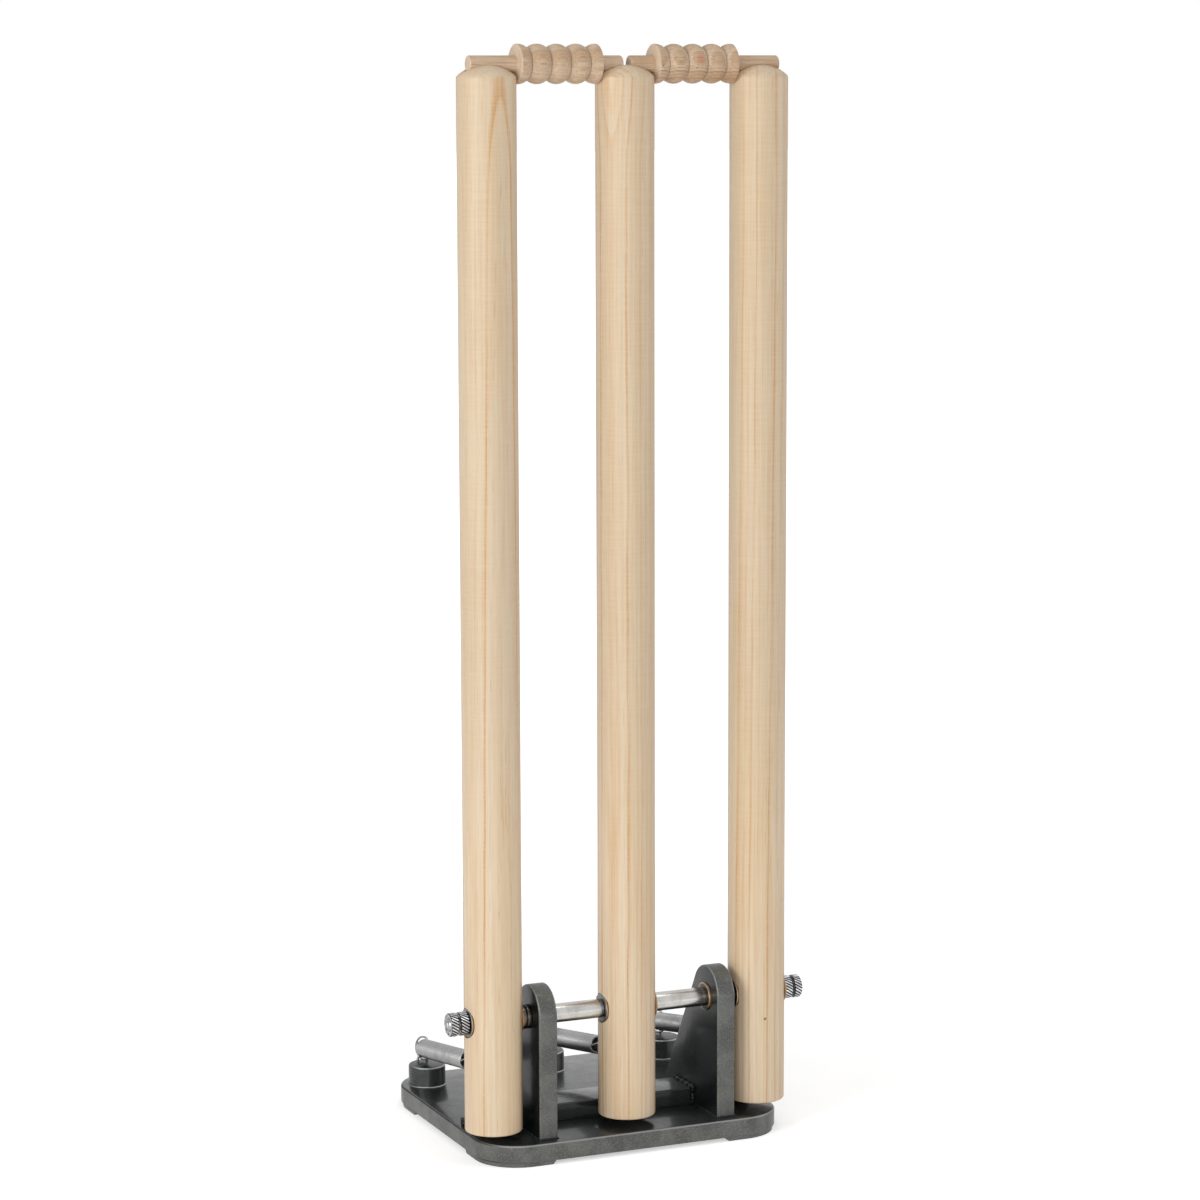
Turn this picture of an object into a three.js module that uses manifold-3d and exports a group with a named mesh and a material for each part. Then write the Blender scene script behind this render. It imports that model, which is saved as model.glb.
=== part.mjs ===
// Spring-back practice cricket stumps: three ash stumps on one steel spindle, over a heavy base plate.
// Each stump is held upright against a stop bar by an extension spring, and lies back when it is hit.
// Millimetres. X runs along the wicket, +Y to the rear, +Z up. The origin is under the middle of the base.
import * as THREE from "three";
import { mergeVertices } from "three/addons/utils/BufferGeometryUtils.js";
import Module from "manifold-3d";

const wasm = await Module();
wasm.setup();

// Wicket
const wicketHeight = 711.2;
const stumpSpacing = 95.25;
const stumpDiameter = 38.1;
const stumpGroundGap = 20.6;
const stumpFootRound = 1.2;
const stumpDomeRadius = 27;
const stumpShoulderRound = 3.2;

// Base plate, with a raised pad under each corner
const baseWidth = 216;
const baseDepth = 192.6;
const baseCornerRadius = 31;
const plateThickness = 12.3;
const plateEdgeRound = 1.4;
const padHeight = 2.6;
const padWidth = 43;
const padLength = 46;
const padInnerRound = 6;
const stumpSetBack = 26.8;

// Uprights
const uprightThickness = 13;
const uprightRadius = 19.2;
const uprightHeadRise = 1.8;
const uprightRearReach = 70;
const uprightEdgeRound = 1.3;

// Stop bars
const stopBarHeight = 11.4;
const stopBarDepth = 28.8;
const outerStopDepth = 18;
const outerStopReach = 29.5;
const stopBarEdgeRound = 1;
const stopClearance = 0.3;

// Spindle, bushes, spacers, washers and nuts
const spindleHeight = 94.1;
const spindleDiameter = 8;
const spindleTip = 0.5;
const spindleEndRound = 1;
const runningClearance = 0.05;
const endPlay = 0.3;
const fittingGap = 0.3;
const bushSleeveDiameter = 12.4;
const bushSleeveLength = 12;
const bushFlangeDiameter = 19.2;
const bushFlangeThickness = 1.7;
const flangeSeatDepth = 2.2;
const flangeSeatDiameter = 20;
const uprightBushDiameter = 18.8;
const uprightBushFlange = 1.4;
const spacerDiameter = 12.5;
const washerDiameter = 16;
const washerThickness = 2.9;
const washersEachSide = 2;
const nutDiameter = 15.7;
const nutEdgeRound = 0.9;
const innerNutLength = 5.8;
const outerNutLength = 5.2;
const nutGap = 1.5;

// Spring posts with their wire staples
const postDiameter = 25.4;
const postHeight = 14;
const postEdgeRound = 1.3;
const postSpacing = 89;
const postSetBack = 139.6;
const stapleWire = 1.8;
const stapleWidth = 6.6;
const stapleRise = 4.7;
const stapleSetBack = 9;

// Screw eyes in the backs of the stumps
const eyeHeight = 57.1;
const eyeReach = 36.7;
const eyeWire = 2.4;
const eyeRingDiameter = 8.4;
const eyeShankDiameter = 3.6;
const eyeShankDepth = 11;
const eyeCollarDiameter = 7;
const eyeCollarThickness = 1.6;

// Springs
const springDiameter = 13;
const springWire = 2.2;
const springCurls = 28;
const springHookRadius = 4.6;
const springLoopRadius = 7.8;
const hookTurnShare = 0.8;
const loopTurnShare = 0.64;
const coilPastPostShare = 0.5;
const loopContactAngle = 60;

// Bails
const bailSpigotDiameter = 10.7;
const bailLongSpigot = 31.9;
const bailBarrelDiameter = 24.8;
const bailBeads = 5;
const bailEndBead = 2.4;
const bailBeadDepth = 2.2;
const bailEdgeRound = 1.2;
const bailTipRound = 0.9;
const bailSeatClearance = 0.3;
const bailMeetingGap = 5.6;
const bailInnerClearance = 0.25;
const bailOuterClearance = 0.3;

// How finely round forms are cut into facets, and how far a cut runs past the face it opens
const turnedSides = 32;
const smallSides = 18;
const arcSteps = 4;
const curlSteps = 8;
const wireSides = 5;
const fixedWireSides = 6;
const hookSteps = 14;
const gapTestSteps = 4;
const cutOverrun = 1;

const halfTurn = Math.PI;
const quarterTurn = Math.PI / 2;
const fullTurn = Math.PI * 2;

// Places worked out from the sizes above
const plateTop = padHeight + plateThickness;
const stumpLineY = -baseDepth / 2 + stumpSetBack;
const stumpRadius = stumpDiameter / 2;
const stumpLength = wicketHeight - stumpGroundGap;
const spindleRadius = spindleDiameter / 2;
const bushSeat = stumpRadius - flangeSeatDepth;
const bushFace = bushSeat + bushFlangeThickness;
const uprightOuter = stumpSpacing - bushFace - endPlay - washersEachSide * washerThickness;
const uprightInner = uprightOuter - uprightThickness;
const innerNutStart = stumpSpacing + bushFace + endPlay;
const outerNutStart = innerNutStart + innerNutLength + nutGap;
const stumpPlaces = { left: -stumpSpacing, middle: 0, right: stumpSpacing };
const postPlaces = { left: -postSpacing, middle: 0, right: postSpacing };

const part = new THREE.Group();

// Finishes

function finish(color, roughness, metalness) {
  return () => new THREE.MeshStandardMaterial({ color, roughness, metalness });
}

const darkPaint = finish(0x4b4e4e, 0.42, 0.35);
const brightSteel = finish(0xc9c9c6, 0.28, 1);
const springSteel = finish(0xa9abab, 0.33, 1);
const bronze = finish(0x8f7a63, 0.4, 1);
const ash = finish(0xe6d3b4, 0.5, 0);
const beech = finish(0xd2b594, 0.62, 0);

function addNode(name, geometry, material, parent = part) {
  const mesh = new THREE.Mesh(geometry, material());
  mesh.name = name;
  parent.add(mesh);
  return mesh;
}

// Solids: joining, cutting and tidying

function weld(geometry) {
  geometry.deleteAttribute("normal");
  geometry.deleteAttribute("uv");
  return mergeVertices(geometry);
}

function toSolid(geometry) {
  const closed = weld(geometry);
  const vertProperties = new Float32Array(closed.attributes.position.array);
  const triVerts = new Uint32Array(closed.index.array);
  return new wasm.Manifold(new wasm.Mesh({ numProp: 3, vertProperties, triVerts }));
}

function fromSolid(solid) {
  const mesh = solid.getMesh();
  const geometry = new THREE.BufferGeometry();
  geometry.setAttribute("position", new THREE.BufferAttribute(mesh.vertProperties, 3));
  geometry.setIndex(new THREE.BufferAttribute(mesh.triVerts, 1));
  return geometry;
}

function cut(geometry, ...tools) {
  let solid = toSolid(geometry);
  for (const tool of tools) solid = solid.subtract(toSolid(tool));
  return fromSolid(solid);
}

function join(geometry, ...others) {
  let solid = toSolid(geometry);
  for (const other of others) solid = solid.add(toSolid(other));
  return fromSolid(solid);
}

// Points of an arc as [across, along] pairs, with angles in radians
function arc(centreX, centreY, radius, from, to, steps = arcSteps) {
  const points = [];
  for (let i = 0; i <= steps; i++) {
    const angle = from + ((to - from) * i) / steps;
    points.push([centreX + radius * Math.cos(angle), centreY + radius * Math.sin(angle)]);
  }
  return points;
}

// A turned form about +Z from [radius, height] pairs that run upwards on the outside
function turned(profile, sides) {
  const points = profile.map(([radius, height]) => new THREE.Vector2(radius, height));
  return weld(new THREE.LatheGeometry(points, sides).rotateX(quarterTurn));
}

// The same, laid along +X
function turnedAlongX(profile, sides) {
  return turned(profile, sides).rotateY(quarterTurn);
}

// A ring's closed profile: bore outwards, with square edges
function ringProfile(boreRadius, outerRadius, from, to) {
  return [
    [boreRadius, from],
    [outerRadius, from],
    [outerRadius, to],
    [boreRadius, to],
    [boreRadius, from],
  ];
}

// A running bore is drawn round its facets, so that their flats clear the spindle
function runningBore(radius) {
  return (radius + runningClearance) / Math.cos(halfTurn / smallSides);
}

function shapeOf(points) {
  const shape = new THREE.Shape();
  points.forEach(([x, y], i) => (i ? shape.lineTo(x, y) : shape.moveTo(x, y)));
  shape.closePath();
  return shape;
}

// A flat shape drawn at full size, extruded to a thickness with its edges eased on both faces
function easedPlate(points, thickness, round) {
  const options = {
    depth: thickness - 2 * round,
    bevelEnabled: true,
    bevelThickness: round,
    bevelSize: round,
    bevelOffset: -round,
    bevelSegments: 1,
    curveSegments: arcSteps,
  };
  return weld(new THREE.ExtrudeGeometry(shapeOf(points), options).translate(0, 0, round));
}

function plainPlate(points, thickness) {
  const options = { depth: thickness, bevelEnabled: false };
  return weld(new THREE.ExtrudeGeometry(shapeOf(points), options));
}

// One unbroken tube of round wire along a list of places, with flat ends
function wireTube(places, wireRadius, sides) {
  const positions = [];
  const indices = [];
  const normal = new THREE.Vector3();
  let across = null;
  places.forEach((place, i) => {
    const before = places[Math.max(i - 1, 0)];
    const after = places[Math.min(i + 1, places.length - 1)];
    const along = after.clone().sub(before).normalize();
    if (!across) {
      across = new THREE.Vector3(0, 0, 1).cross(along);
      if (across.length() < Math.SQRT1_2) across.set(1, 0, 0).cross(along);
    }
    across.addScaledVector(along, -across.dot(along)).normalize();
    normal.copy(along).cross(across);
    for (let k = 0; k < sides; k++) {
      const angle = (fullTurn * k) / sides;
      const point = place.clone();
      point.addScaledVector(across, wireRadius * Math.cos(angle));
      point.addScaledVector(normal, wireRadius * Math.sin(angle));
      positions.push(point.x, point.y, point.z);
    }
  });
  for (let i = 0; i + 1 < places.length; i++) {
    for (let k = 0; k < sides; k++) {
      const a = i * sides + k;
      const b = i * sides + ((k + 1) % sides);
      indices.push(a, b, b + sides, a, b + sides, a + sides);
    }
  }
  const last = (places.length - 1) * sides;
  for (let k = 1; k + 1 < sides; k++) {
    indices.push(0, k + 1, k, last, last + k, last + k + 1);
  }
  const geometry = new THREE.BufferGeometry();
  geometry.setAttribute("position", new THREE.Float32BufferAttribute(positions, 3));
  geometry.setIndex(indices);
  return geometry;
}

// Base plate

function roundedOutline(width, depth, radius) {
  const x = width / 2 - radius;
  const y = depth / 2 - radius;
  return [
    ...arc(x, y, radius, 0, quarterTurn, 2 * arcSteps),
    ...arc(-x, y, radius, quarterTurn, halfTurn, 2 * arcSteps),
    ...arc(-x, -y, radius, halfTurn, halfTurn + quarterTurn, 2 * arcSteps),
    ...arc(x, -y, radius, halfTurn + quarterTurn, fullTurn, 2 * arcSteps),
  ];
}

// The pad under the rear right corner, drawn with its outer corner on the plate's own outline
function padOutline() {
  const outerX = baseWidth / 2 - plateEdgeRound;
  const outerY = baseDepth / 2 - plateEdgeRound;
  const cornerRadius = baseCornerRadius - plateEdgeRound;
  const innerX = outerX - padWidth + padInnerRound;
  const innerY = outerY - padLength + padInnerRound;
  return [
    ...arc(outerX - cornerRadius, outerY - cornerRadius, cornerRadius, 0, quarterTurn, 2 * arcSteps),
    [outerX - padWidth, outerY],
    ...arc(innerX, innerY, padInnerRound, halfTurn, halfTurn + quarterTurn),
    [outerX, outerY - padLength],
  ];
}

function basePlate() {
  const outline = roundedOutline(baseWidth, baseDepth, baseCornerRadius);
  const plate = easedPlate(outline, plateThickness, plateEdgeRound).translate(0, 0, padHeight);
  const pads = [];
  for (const turnX of [1, -1]) {
    for (const turnY of [1, -1]) {
      const outline = padOutline().map(([x, y]) => [x * turnX, y * turnY]);
      if (turnX * turnY < 0) outline.reverse();
      pads.push(plainPlate(outline, padHeight + plateEdgeRound));
    }
  }
  return join(plate, ...pads);
}

addNode("base_plate", basePlate(), darkPaint);

// Uprights: a front edge straight up to a round head, and a rear edge that slopes to the plate.
// The middle of the head is a little above the spindle.

function uprightOutline() {
  const rise = spindleHeight - plateTop;
  const drop = rise + uprightHeadRise;
  const span = Math.hypot(uprightRearReach, drop);
  const slope = Math.atan2(-drop, uprightRearReach) + Math.acos(uprightRadius / span);
  return [
    [-uprightRadius, -rise],
    [uprightRearReach, -rise],
    ...arc(0, uprightHeadRise, uprightRadius, slope, halfTurn, 3 * arcSteps),
  ];
}

function upright() {
  const bore = bushSleeveDiameter / 2 + fittingGap;
  const end = uprightThickness + cutOverrun;
  const hole = turned([[0, -cutOverrun], [bore, -cutOverrun], [bore, end], [0, end]], smallSides);
  const plate = cut(easedPlate(uprightOutline(), uprightThickness, uprightEdgeRound), hole);
  return plate.rotateZ(quarterTurn).rotateY(quarterTurn);
}

function placeUpright(name, x) {
  const mesh = addNode(name, upright(), darkPaint);
  mesh.position.set(x, stumpLineY, spindleHeight);
}

placeUpright("left_upright", -uprightOuter);
placeUpright("right_upright", uprightInner);

// Stop bars: the stumps' feet rest against their front faces

function stopBar(name, from, to, depth) {
  const length = to - from;
  const shoulder = stopBarHeight - stopBarEdgeRound;
  const outline = [
    [0, 0],
    [depth, 0],
    ...arc(depth - stopBarEdgeRound, shoulder, stopBarEdgeRound, 0, quarterTurn, 1),
    ...arc(stopBarEdgeRound, shoulder, stopBarEdgeRound, quarterTurn, halfTurn, 1),
  ];
  const bar = plainPlate(outline, length).rotateZ(quarterTurn).rotateY(quarterTurn);
  const mesh = addNode(name, bar, darkPaint);
  mesh.position.set(from, stumpLineY + stumpRadius + stopClearance, plateTop);
}

stopBar("middle_stop_bar", -uprightInner, uprightInner, stopBarDepth);
stopBar("left_stop_bar", -uprightOuter - outerStopReach, -uprightOuter, outerStopDepth);
stopBar("right_stop_bar", uprightOuter, uprightOuter + outerStopReach, outerStopDepth);

// Spring posts, each with a wire staple on top that the spring's loop hooks under

const postRadius = postDiameter / 2;
const postY = stumpLineY + postSetBack;
const stapleBarZ = plateTop + postHeight + stapleRise;
const stapleY = postY + stapleSetBack;

function springPost() {
  return turned([
    [0, 0],
    [postRadius, 0],
    ...arc(postRadius - postEdgeRound, postHeight - postEdgeRound, postEdgeRound, 0, quarterTurn, 2),
    [0, postHeight],
  ], smallSides);
}

function staple() {
  const half = stapleWidth / 2;
  const places = [[-half, 0]];
  places.push(...arc(0, stapleRise - half, half, halfTurn, 0, 2 * arcSteps), [half, 0]);
  const curve = places.map(([x, z]) => new THREE.Vector3(x, 0, z));
  return wireTube(curve, stapleWire / 2, fixedWireSides);
}

for (const [side, x] of Object.entries(postPlaces)) {
  addNode(`${side}_spring_post`, springPost(), darkPaint).position.set(x, postY, plateTop);
  addNode(`${side}_post_staple`, staple(), springSteel).position.set(x, stapleY, plateTop + postHeight);
}

// Stumps: a turned round with a domed top, a groove for the bails, a cross bore for the spindle,
// a flat seat round each end of it, and a pilot hole for the screw eye

function stumpProfile() {
  const domeCentre = stumpLength - stumpDomeRadius;
  const roundCentre = stumpRadius - stumpShoulderRound;
  const reach = stumpDomeRadius - stumpShoulderRound;
  const tilt = Math.acos(roundCentre / reach);
  const roundHeight = domeCentre + Math.sqrt(reach ** 2 - roundCentre ** 2);
  return [
    [0, 0],
    [stumpRadius - stumpFootRound, 0],
    [stumpRadius, stumpFootRound],
    ...arc(roundCentre, roundHeight, stumpShoulderRound, 0, tilt, 3),
    ...arc(0, domeCentre, stumpDomeRadius, tilt, quarterTurn, arcSteps).slice(1, -1),
    [0, stumpLength],
  ];
}

function barAlongX(radius, from, to, height, sides) {
  const profile = [[0, from], [radius, from], [radius, to], [0, to]];
  return turnedAlongX(profile, sides).translate(0, 0, height);
}

function stump() {
  const across = stumpRadius + cutOverrun;
  const pivot = spindleHeight - stumpGroundGap;
  const boreRadius = bushSleeveDiameter / 2 + fittingGap;
  const grooveRadius = bailSpigotDiameter / 2 + bailSeatClearance;
  const seatRadius = flangeSeatDiameter / 2;
  const pilotRadius = eyeShankDiameter / 2 + fittingGap;
  const pilotDepth = eyeShankDepth + fittingGap;
  const pilot = turned([
    [0, -pilotDepth],
    [pilotRadius, -pilotDepth],
    [pilotRadius, cutOverrun],
    [0, cutOverrun],
  ], smallSides).rotateX(-quarterTurn);
  return cut(
    turned(stumpProfile(), turnedSides),
    barAlongX(grooveRadius, -across, across, stumpLength, smallSides),
    barAlongX(boreRadius, -across, across, pivot, smallSides),
    barAlongX(seatRadius, -across, -bushSeat, pivot, smallSides),
    barAlongX(seatRadius, bushSeat, across, pivot, smallSides),
    pilot.translate(0, stumpRadius, eyeHeight - stumpGroundGap),
  );
}

// Flanged bush pressed into a side of a stump, flange outwards along +X
function stumpBush() {
  const bore = runningBore(spindleRadius);
  const sleeve = bushSleeveDiameter / 2;
  const flange = bushFlangeDiameter / 2;
  const start = bushSeat - bushSleeveLength;
  return turnedAlongX([
    [bore, start],
    [sleeve, start],
    [sleeve, bushSeat],
    [flange, bushSeat],
    [flange, bushFace],
    [bore, bushFace],
    [bore, start],
  ], smallSides);
}

// Screw eye: a shank in the wood, a collar against it, and a flat ring for the spring's hook
const eyeRingRadius = eyeRingDiameter / 2;

function screwEye() {
  const shank = eyeShankDiameter / 2;
  const wire = eyeWire / 2;
  const collar = eyeCollarDiameter / 2;
  const ringCentre = eyeReach - eyeRingRadius;
  const neck = ringCentre - eyeRingRadius;
  const collarStart = stumpRadius + fittingGap;
  const stem = turned([
    [0, stumpRadius - eyeShankDepth],
    [shank, stumpRadius - eyeShankDepth],
    [shank, collarStart],
    [collar, collarStart],
    [collar, collarStart + eyeCollarThickness],
    [wire, collarStart + eyeCollarThickness],
    [wire, neck],
    [0, neck],
  ], smallSides).rotateX(-quarterTurn);
  const ring = new THREE.TorusGeometry(eyeRingRadius, wire, fixedWireSides, smallSides);
  return join(stem, ring.translate(0, ringCentre, 0));
}

for (const [side, x] of Object.entries(stumpPlaces)) {
  addNode(`${side}_stump`, stump(), ash).position.set(x, stumpLineY, stumpGroundGap);
  const leftBush = addNode(`${side}_stump_left_bush`, stumpBush(), bronze);
  leftBush.position.set(x, stumpLineY, spindleHeight);
  leftBush.rotation.z = halfTurn;
  const rightBush = addNode(`${side}_stump_right_bush`, stumpBush(), bronze);
  rightBush.position.set(x, stumpLineY, spindleHeight);
  addNode(`${side}_screw_eye`, screwEye(), brightSteel).position.set(x, stumpLineY, eyeHeight);
}

// Spindle through both uprights and all three stumps

function spindle() {
  const half = outerNutStart + outerNutLength + spindleTip;
  return turnedAlongX([
    [0, -half],
    [spindleRadius - spindleEndRound, -half],
    [spindleRadius, -half + spindleEndRound],
    [spindleRadius, half - spindleEndRound],
    [spindleRadius - spindleEndRound, half],
    [0, half],
  ], smallSides);
}

addNode("spindle", spindle(), brightSteel).position.set(0, stumpLineY, spindleHeight);

function onSpindle(name, profile, material, x, faceLeft = false) {
  const mesh = addNode(name, turnedAlongX(profile, smallSides), material);
  mesh.position.set(x, stumpLineY, spindleHeight);
  if (faceLeft) mesh.rotation.z = halfTurn;
}

// Flanged bush through each upright, its flange on the inner face
function uprightBushProfile() {
  const bore = runningBore(spindleRadius);
  const sleeve = bushSleeveDiameter / 2;
  const flange = uprightBushDiameter / 2;
  return [
    [bore, -uprightBushFlange],
    [flange, -uprightBushFlange],
    [flange, 0],
    [sleeve, 0],
    [sleeve, uprightThickness],
    [bore, uprightThickness],
    [bore, -uprightBushFlange],
  ];
}

onSpindle("left_upright_bush", uprightBushProfile(), bronze, -uprightInner, true);
onSpindle("right_upright_bush", uprightBushProfile(), bronze, uprightInner);

// Spacer tubes between the uprights' bushes and the middle stump
const spacerStart = bushFace + endPlay;
const spacerLength = uprightInner - uprightBushFlange - spacerStart;
const spacerProfile = ringProfile(runningBore(spindleRadius), spacerDiameter / 2, 0, spacerLength);
onSpindle("left_spacer_tube", spacerProfile, brightSteel, -spacerStart, true);
onSpindle("right_spacer_tube", spacerProfile, brightSteel, spacerStart);

// Washers fill the space between each upright and the outer stump beside it
const washerProfile = ringProfile(runningBore(spindleRadius), washerDiameter / 2, 0, washerThickness);
for (let i = 0; i < washersEachSide; i++) {
  const x = uprightOuter + i * washerThickness;
  onSpindle(`left_washer_${i + 1}`, washerProfile, brightSteel, -x, true);
  onSpindle(`right_washer_${i + 1}`, washerProfile, brightSteel, x);
}

// Round nuts: two locked together at each end of the spindle
function nutProfile(length) {
  const bore = runningBore(spindleRadius);
  const radius = nutDiameter / 2;
  return [
    [bore, 0],
    [radius - nutEdgeRound, 0],
    [radius, nutEdgeRound],
    [radius, length - nutEdgeRound],
    [radius - nutEdgeRound, length],
    [bore, length],
    [bore, 0],
  ];
}

onSpindle("left_inner_nut", nutProfile(innerNutLength), brightSteel, -innerNutStart, true);
onSpindle("left_outer_nut", nutProfile(outerNutLength), brightSteel, -outerNutStart, true);
onSpindle("right_inner_nut", nutProfile(innerNutLength), brightSteel, innerNutStart);
onSpindle("right_outer_nut", nutProfile(outerNutLength), brightSteel, outerNutStart);

// Springs: curls between a small hook at the stump and a raised loop at the post, in one wire.
// Each lies on the line from its screw eye to its staple, drawn along +Y with its loops upright.

const wireRadius = springWire / 2;
const curlRadius = springDiameter / 2 - wireRadius;

// Distance from the screw eye's ring wire to the centre of the hook that holds it
const hookOffset = springHookRadius - wireRadius - fittingGap - eyeWire / 2;
// Distance from the staple's bar to the centre of the loop that holds it
const loopOffset = springLoopRadius - wireRadius - fittingGap - stapleWire / 2;

function springPlaces(span) {
  const places = [];
  const put = (x, y, z) => places.push(new THREE.Vector3(x, y, z));
  const putRound = (centreY, radius, angle) => {
    put(0, centreY + radius * Math.cos(angle), radius * Math.sin(angle));
  };
  const coilStart = hookOffset + springHookRadius + springWire;
  const coilEnd = span - springLoopRadius * coilPastPostShare;
  for (let i = 0; i <= hookSteps; i++) {
    putRound(hookOffset, springHookRadius, hookTurnShare * fullTurn * (i / hookSteps - 1));
  }
  put(0, coilStart - wireRadius, curlRadius / 2);
  const steps = springCurls * curlSteps;
  for (let i = 1; i < steps; i++) {
    const angle = (fullTurn * i) / curlSteps;
    const y = coilStart + ((coilEnd - coilStart) * i) / steps;
    put(curlRadius * Math.sin(angle), y, curlRadius * Math.cos(angle));
  }
  for (let i = 0; i <= hookSteps; i++) {
    putRound(span, springLoopRadius, loopTurnShare * fullTurn * (1 / 2 - i / hookSteps));
  }
  return places;
}

// Least gap between two lengths of the wire that are not neighbours along it
function leastGap(places) {
  const apart = (gapTestSteps * curlSteps) / 2;
  let least = Infinity;
  const fine = [];
  for (let i = 0; i + 1 < places.length; i++) {
    for (let k = 0; k < gapTestSteps; k++) {
      fine.push(places[i].clone().lerp(places[i + 1], k / gapTestSteps));
    }
  }
  for (let i = 0; i < fine.length; i++) {
    for (let j = i + apart; j < fine.length; j++) {
      least = Math.min(least, fine[i].distanceTo(fine[j]));
    }
  }
  return least - springWire;
}

for (const [side, stumpX] of Object.entries(stumpPlaces)) {
  const eye = new THREE.Vector3(stumpX, stumpLineY + eyeReach, eyeHeight);
  const contact = THREE.MathUtils.degToRad(loopContactAngle);
  const loopCentre = new THREE.Vector3(
    postPlaces[side],
    stapleY - loopOffset * Math.cos(contact),
    stapleBarZ + loopOffset * Math.sin(contact),
  );
  const line = loopCentre.clone().sub(eye);
  const places = springPlaces(line.length());
  console.log(`${side}_spring: least gap to itself ${leastGap(places).toFixed(2)} mm`);
  const swing = new THREE.Group();
  swing.position.copy(eye);
  swing.rotation.z = Math.atan2(-line.x, line.y);
  const spring = addNode(`${side}_spring`, wireTube(places, wireRadius, wireSides), springSteel, swing);
  spring.rotation.x = Math.atan2(line.z, Math.hypot(line.x, line.y));
  part.add(swing);
}

// Bails: five beads between a long spigot, which lies outwards, and a short one.
// The beads fill the space between two stumps.
const bailShortSpigot = stumpRadius + bailInnerClearance - bailMeetingGap / 2;
const bailBarrelLength = stumpSpacing - stumpDiameter - bailInnerClearance - bailOuterClearance;

function bailProfile() {
  const spigot = bailSpigotDiameter / 2;
  const barrel = bailBarrelDiameter / 2;
  const barrelStart = bailLongSpigot;
  const barrelEnd = bailLongSpigot + bailBarrelLength;
  const total = barrelEnd + bailShortSpigot;
  const beadPitch = (bailBarrelLength - 2 * bailEndBead) / (bailBeads - 1);
  const beadRadius = ((beadPitch / 2) ** 2 + bailBeadDepth ** 2) / (2 * bailBeadDepth);
  const beadSpread = Math.asin(beadPitch / 2 / beadRadius);
  const endSpread = Math.asin((bailEndBead - bailEdgeRound) / beadRadius);
  const profile = [[0, 0], [spigot - bailTipRound, 0], [spigot, bailTipRound], [spigot, barrelStart]];
  profile.push([barrel - bailEdgeRound, barrelStart]);
  for (let bead = 0; bead < bailBeads; bead++) {
    const centre = barrelStart + bailEndBead + bead * beadPitch;
    const from = bead === 0 ? -endSpread : -beadSpread;
    const to = bead === bailBeads - 1 ? endSpread : beadSpread;
    const outline = arc(barrel - beadRadius, centre, beadRadius, from, to);
    profile.push(...(bead === 0 ? outline : outline.slice(1)));
  }
  profile.push([barrel - bailEdgeRound, barrelEnd], [spigot, barrelEnd]);
  profile.push([spigot, total - bailTipRound], [spigot - bailTipRound, total], [0, total]);
  return profile;
}

const bailLength = bailLongSpigot + bailBarrelLength + bailShortSpigot;

function placeBail(name, x, faceLeft) {
  const mesh = addNode(name, turnedAlongX(bailProfile(), smallSides), beech);
  mesh.position.set(x, stumpLineY, wicketHeight);
  if (faceLeft) mesh.rotation.z = halfTurn;
}

placeBail("left_bail", -bailMeetingGap / 2 - bailLength, false);
placeBail("right_bail", bailMeetingGap / 2 + bailLength, true);

export default part;
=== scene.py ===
import math
import bmesh
import bpy
from mathutils import Matrix, Vector


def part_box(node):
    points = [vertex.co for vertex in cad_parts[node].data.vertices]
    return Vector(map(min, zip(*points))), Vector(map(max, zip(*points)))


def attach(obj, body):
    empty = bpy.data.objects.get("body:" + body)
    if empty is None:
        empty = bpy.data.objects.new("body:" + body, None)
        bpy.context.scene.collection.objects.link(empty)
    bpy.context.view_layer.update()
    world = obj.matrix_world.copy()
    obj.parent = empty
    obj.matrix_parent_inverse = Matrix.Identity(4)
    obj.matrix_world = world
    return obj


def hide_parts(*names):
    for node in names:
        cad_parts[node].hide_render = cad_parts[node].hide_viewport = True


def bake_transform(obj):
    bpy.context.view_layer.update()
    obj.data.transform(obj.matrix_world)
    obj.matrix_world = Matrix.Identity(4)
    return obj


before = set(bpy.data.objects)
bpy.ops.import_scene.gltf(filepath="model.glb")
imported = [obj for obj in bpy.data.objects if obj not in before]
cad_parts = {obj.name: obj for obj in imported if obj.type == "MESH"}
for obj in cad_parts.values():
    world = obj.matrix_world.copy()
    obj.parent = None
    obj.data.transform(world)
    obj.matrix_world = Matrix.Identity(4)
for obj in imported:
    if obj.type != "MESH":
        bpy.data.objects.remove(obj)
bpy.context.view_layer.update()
print("Frame loaded with", len(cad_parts), "nodes")

mm = 0.001
sides = ("left", "middle", "right")
outerSides = ("left", "right")
zero = (0.0, 0.0, 0.0)
quarter = math.pi / 2


# Camera, at the photograph's place, with its angles in radians

cameraLook = {
    "place": (-0.94520, -2.20218, 0.70240),
    "turn": -0.41,
    "dip": 0.1435,
    "roll": -0.003,
    "lens": 108.418,
    "sensor": 36.0,
}


def makeCamera(look):
    data = bpy.data.cameras.new("photoCamera")
    data.lens = look["lens"]
    data.sensor_width = look["sensor"]
    camera = bpy.data.objects.new("photoCamera", data)
    turn = Matrix.Rotation(look["turn"], 4, "Z")
    dip = Matrix.Rotation(quarter - look["dip"], 4, "X")
    roll = Matrix.Rotation(look["roll"], 4, "Z")
    camera.matrix_world = Matrix.Translation(look["place"]) @ turn @ dip @ roll
    bpy.context.collection.objects.link(camera)
    bpy.context.scene.camera = camera


makeCamera(cameraLook)


# Node trees

def feed(tree, sockets, values):
    # links each value that is a socket, and sets the others
    for name, value in values.items():
        if isinstance(value, bpy.types.NodeSocket):
            tree.links.new(value, sockets[name])
        else:
            sockets[name].default_value = value


def put(tree, kind, inputs=None, **settings):
    made = tree.nodes.new("ShaderNode" + kind)
    for name, value in settings.items():
        setattr(made, name, value)
    feed(tree, made.inputs, inputs or {})
    return made


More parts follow.
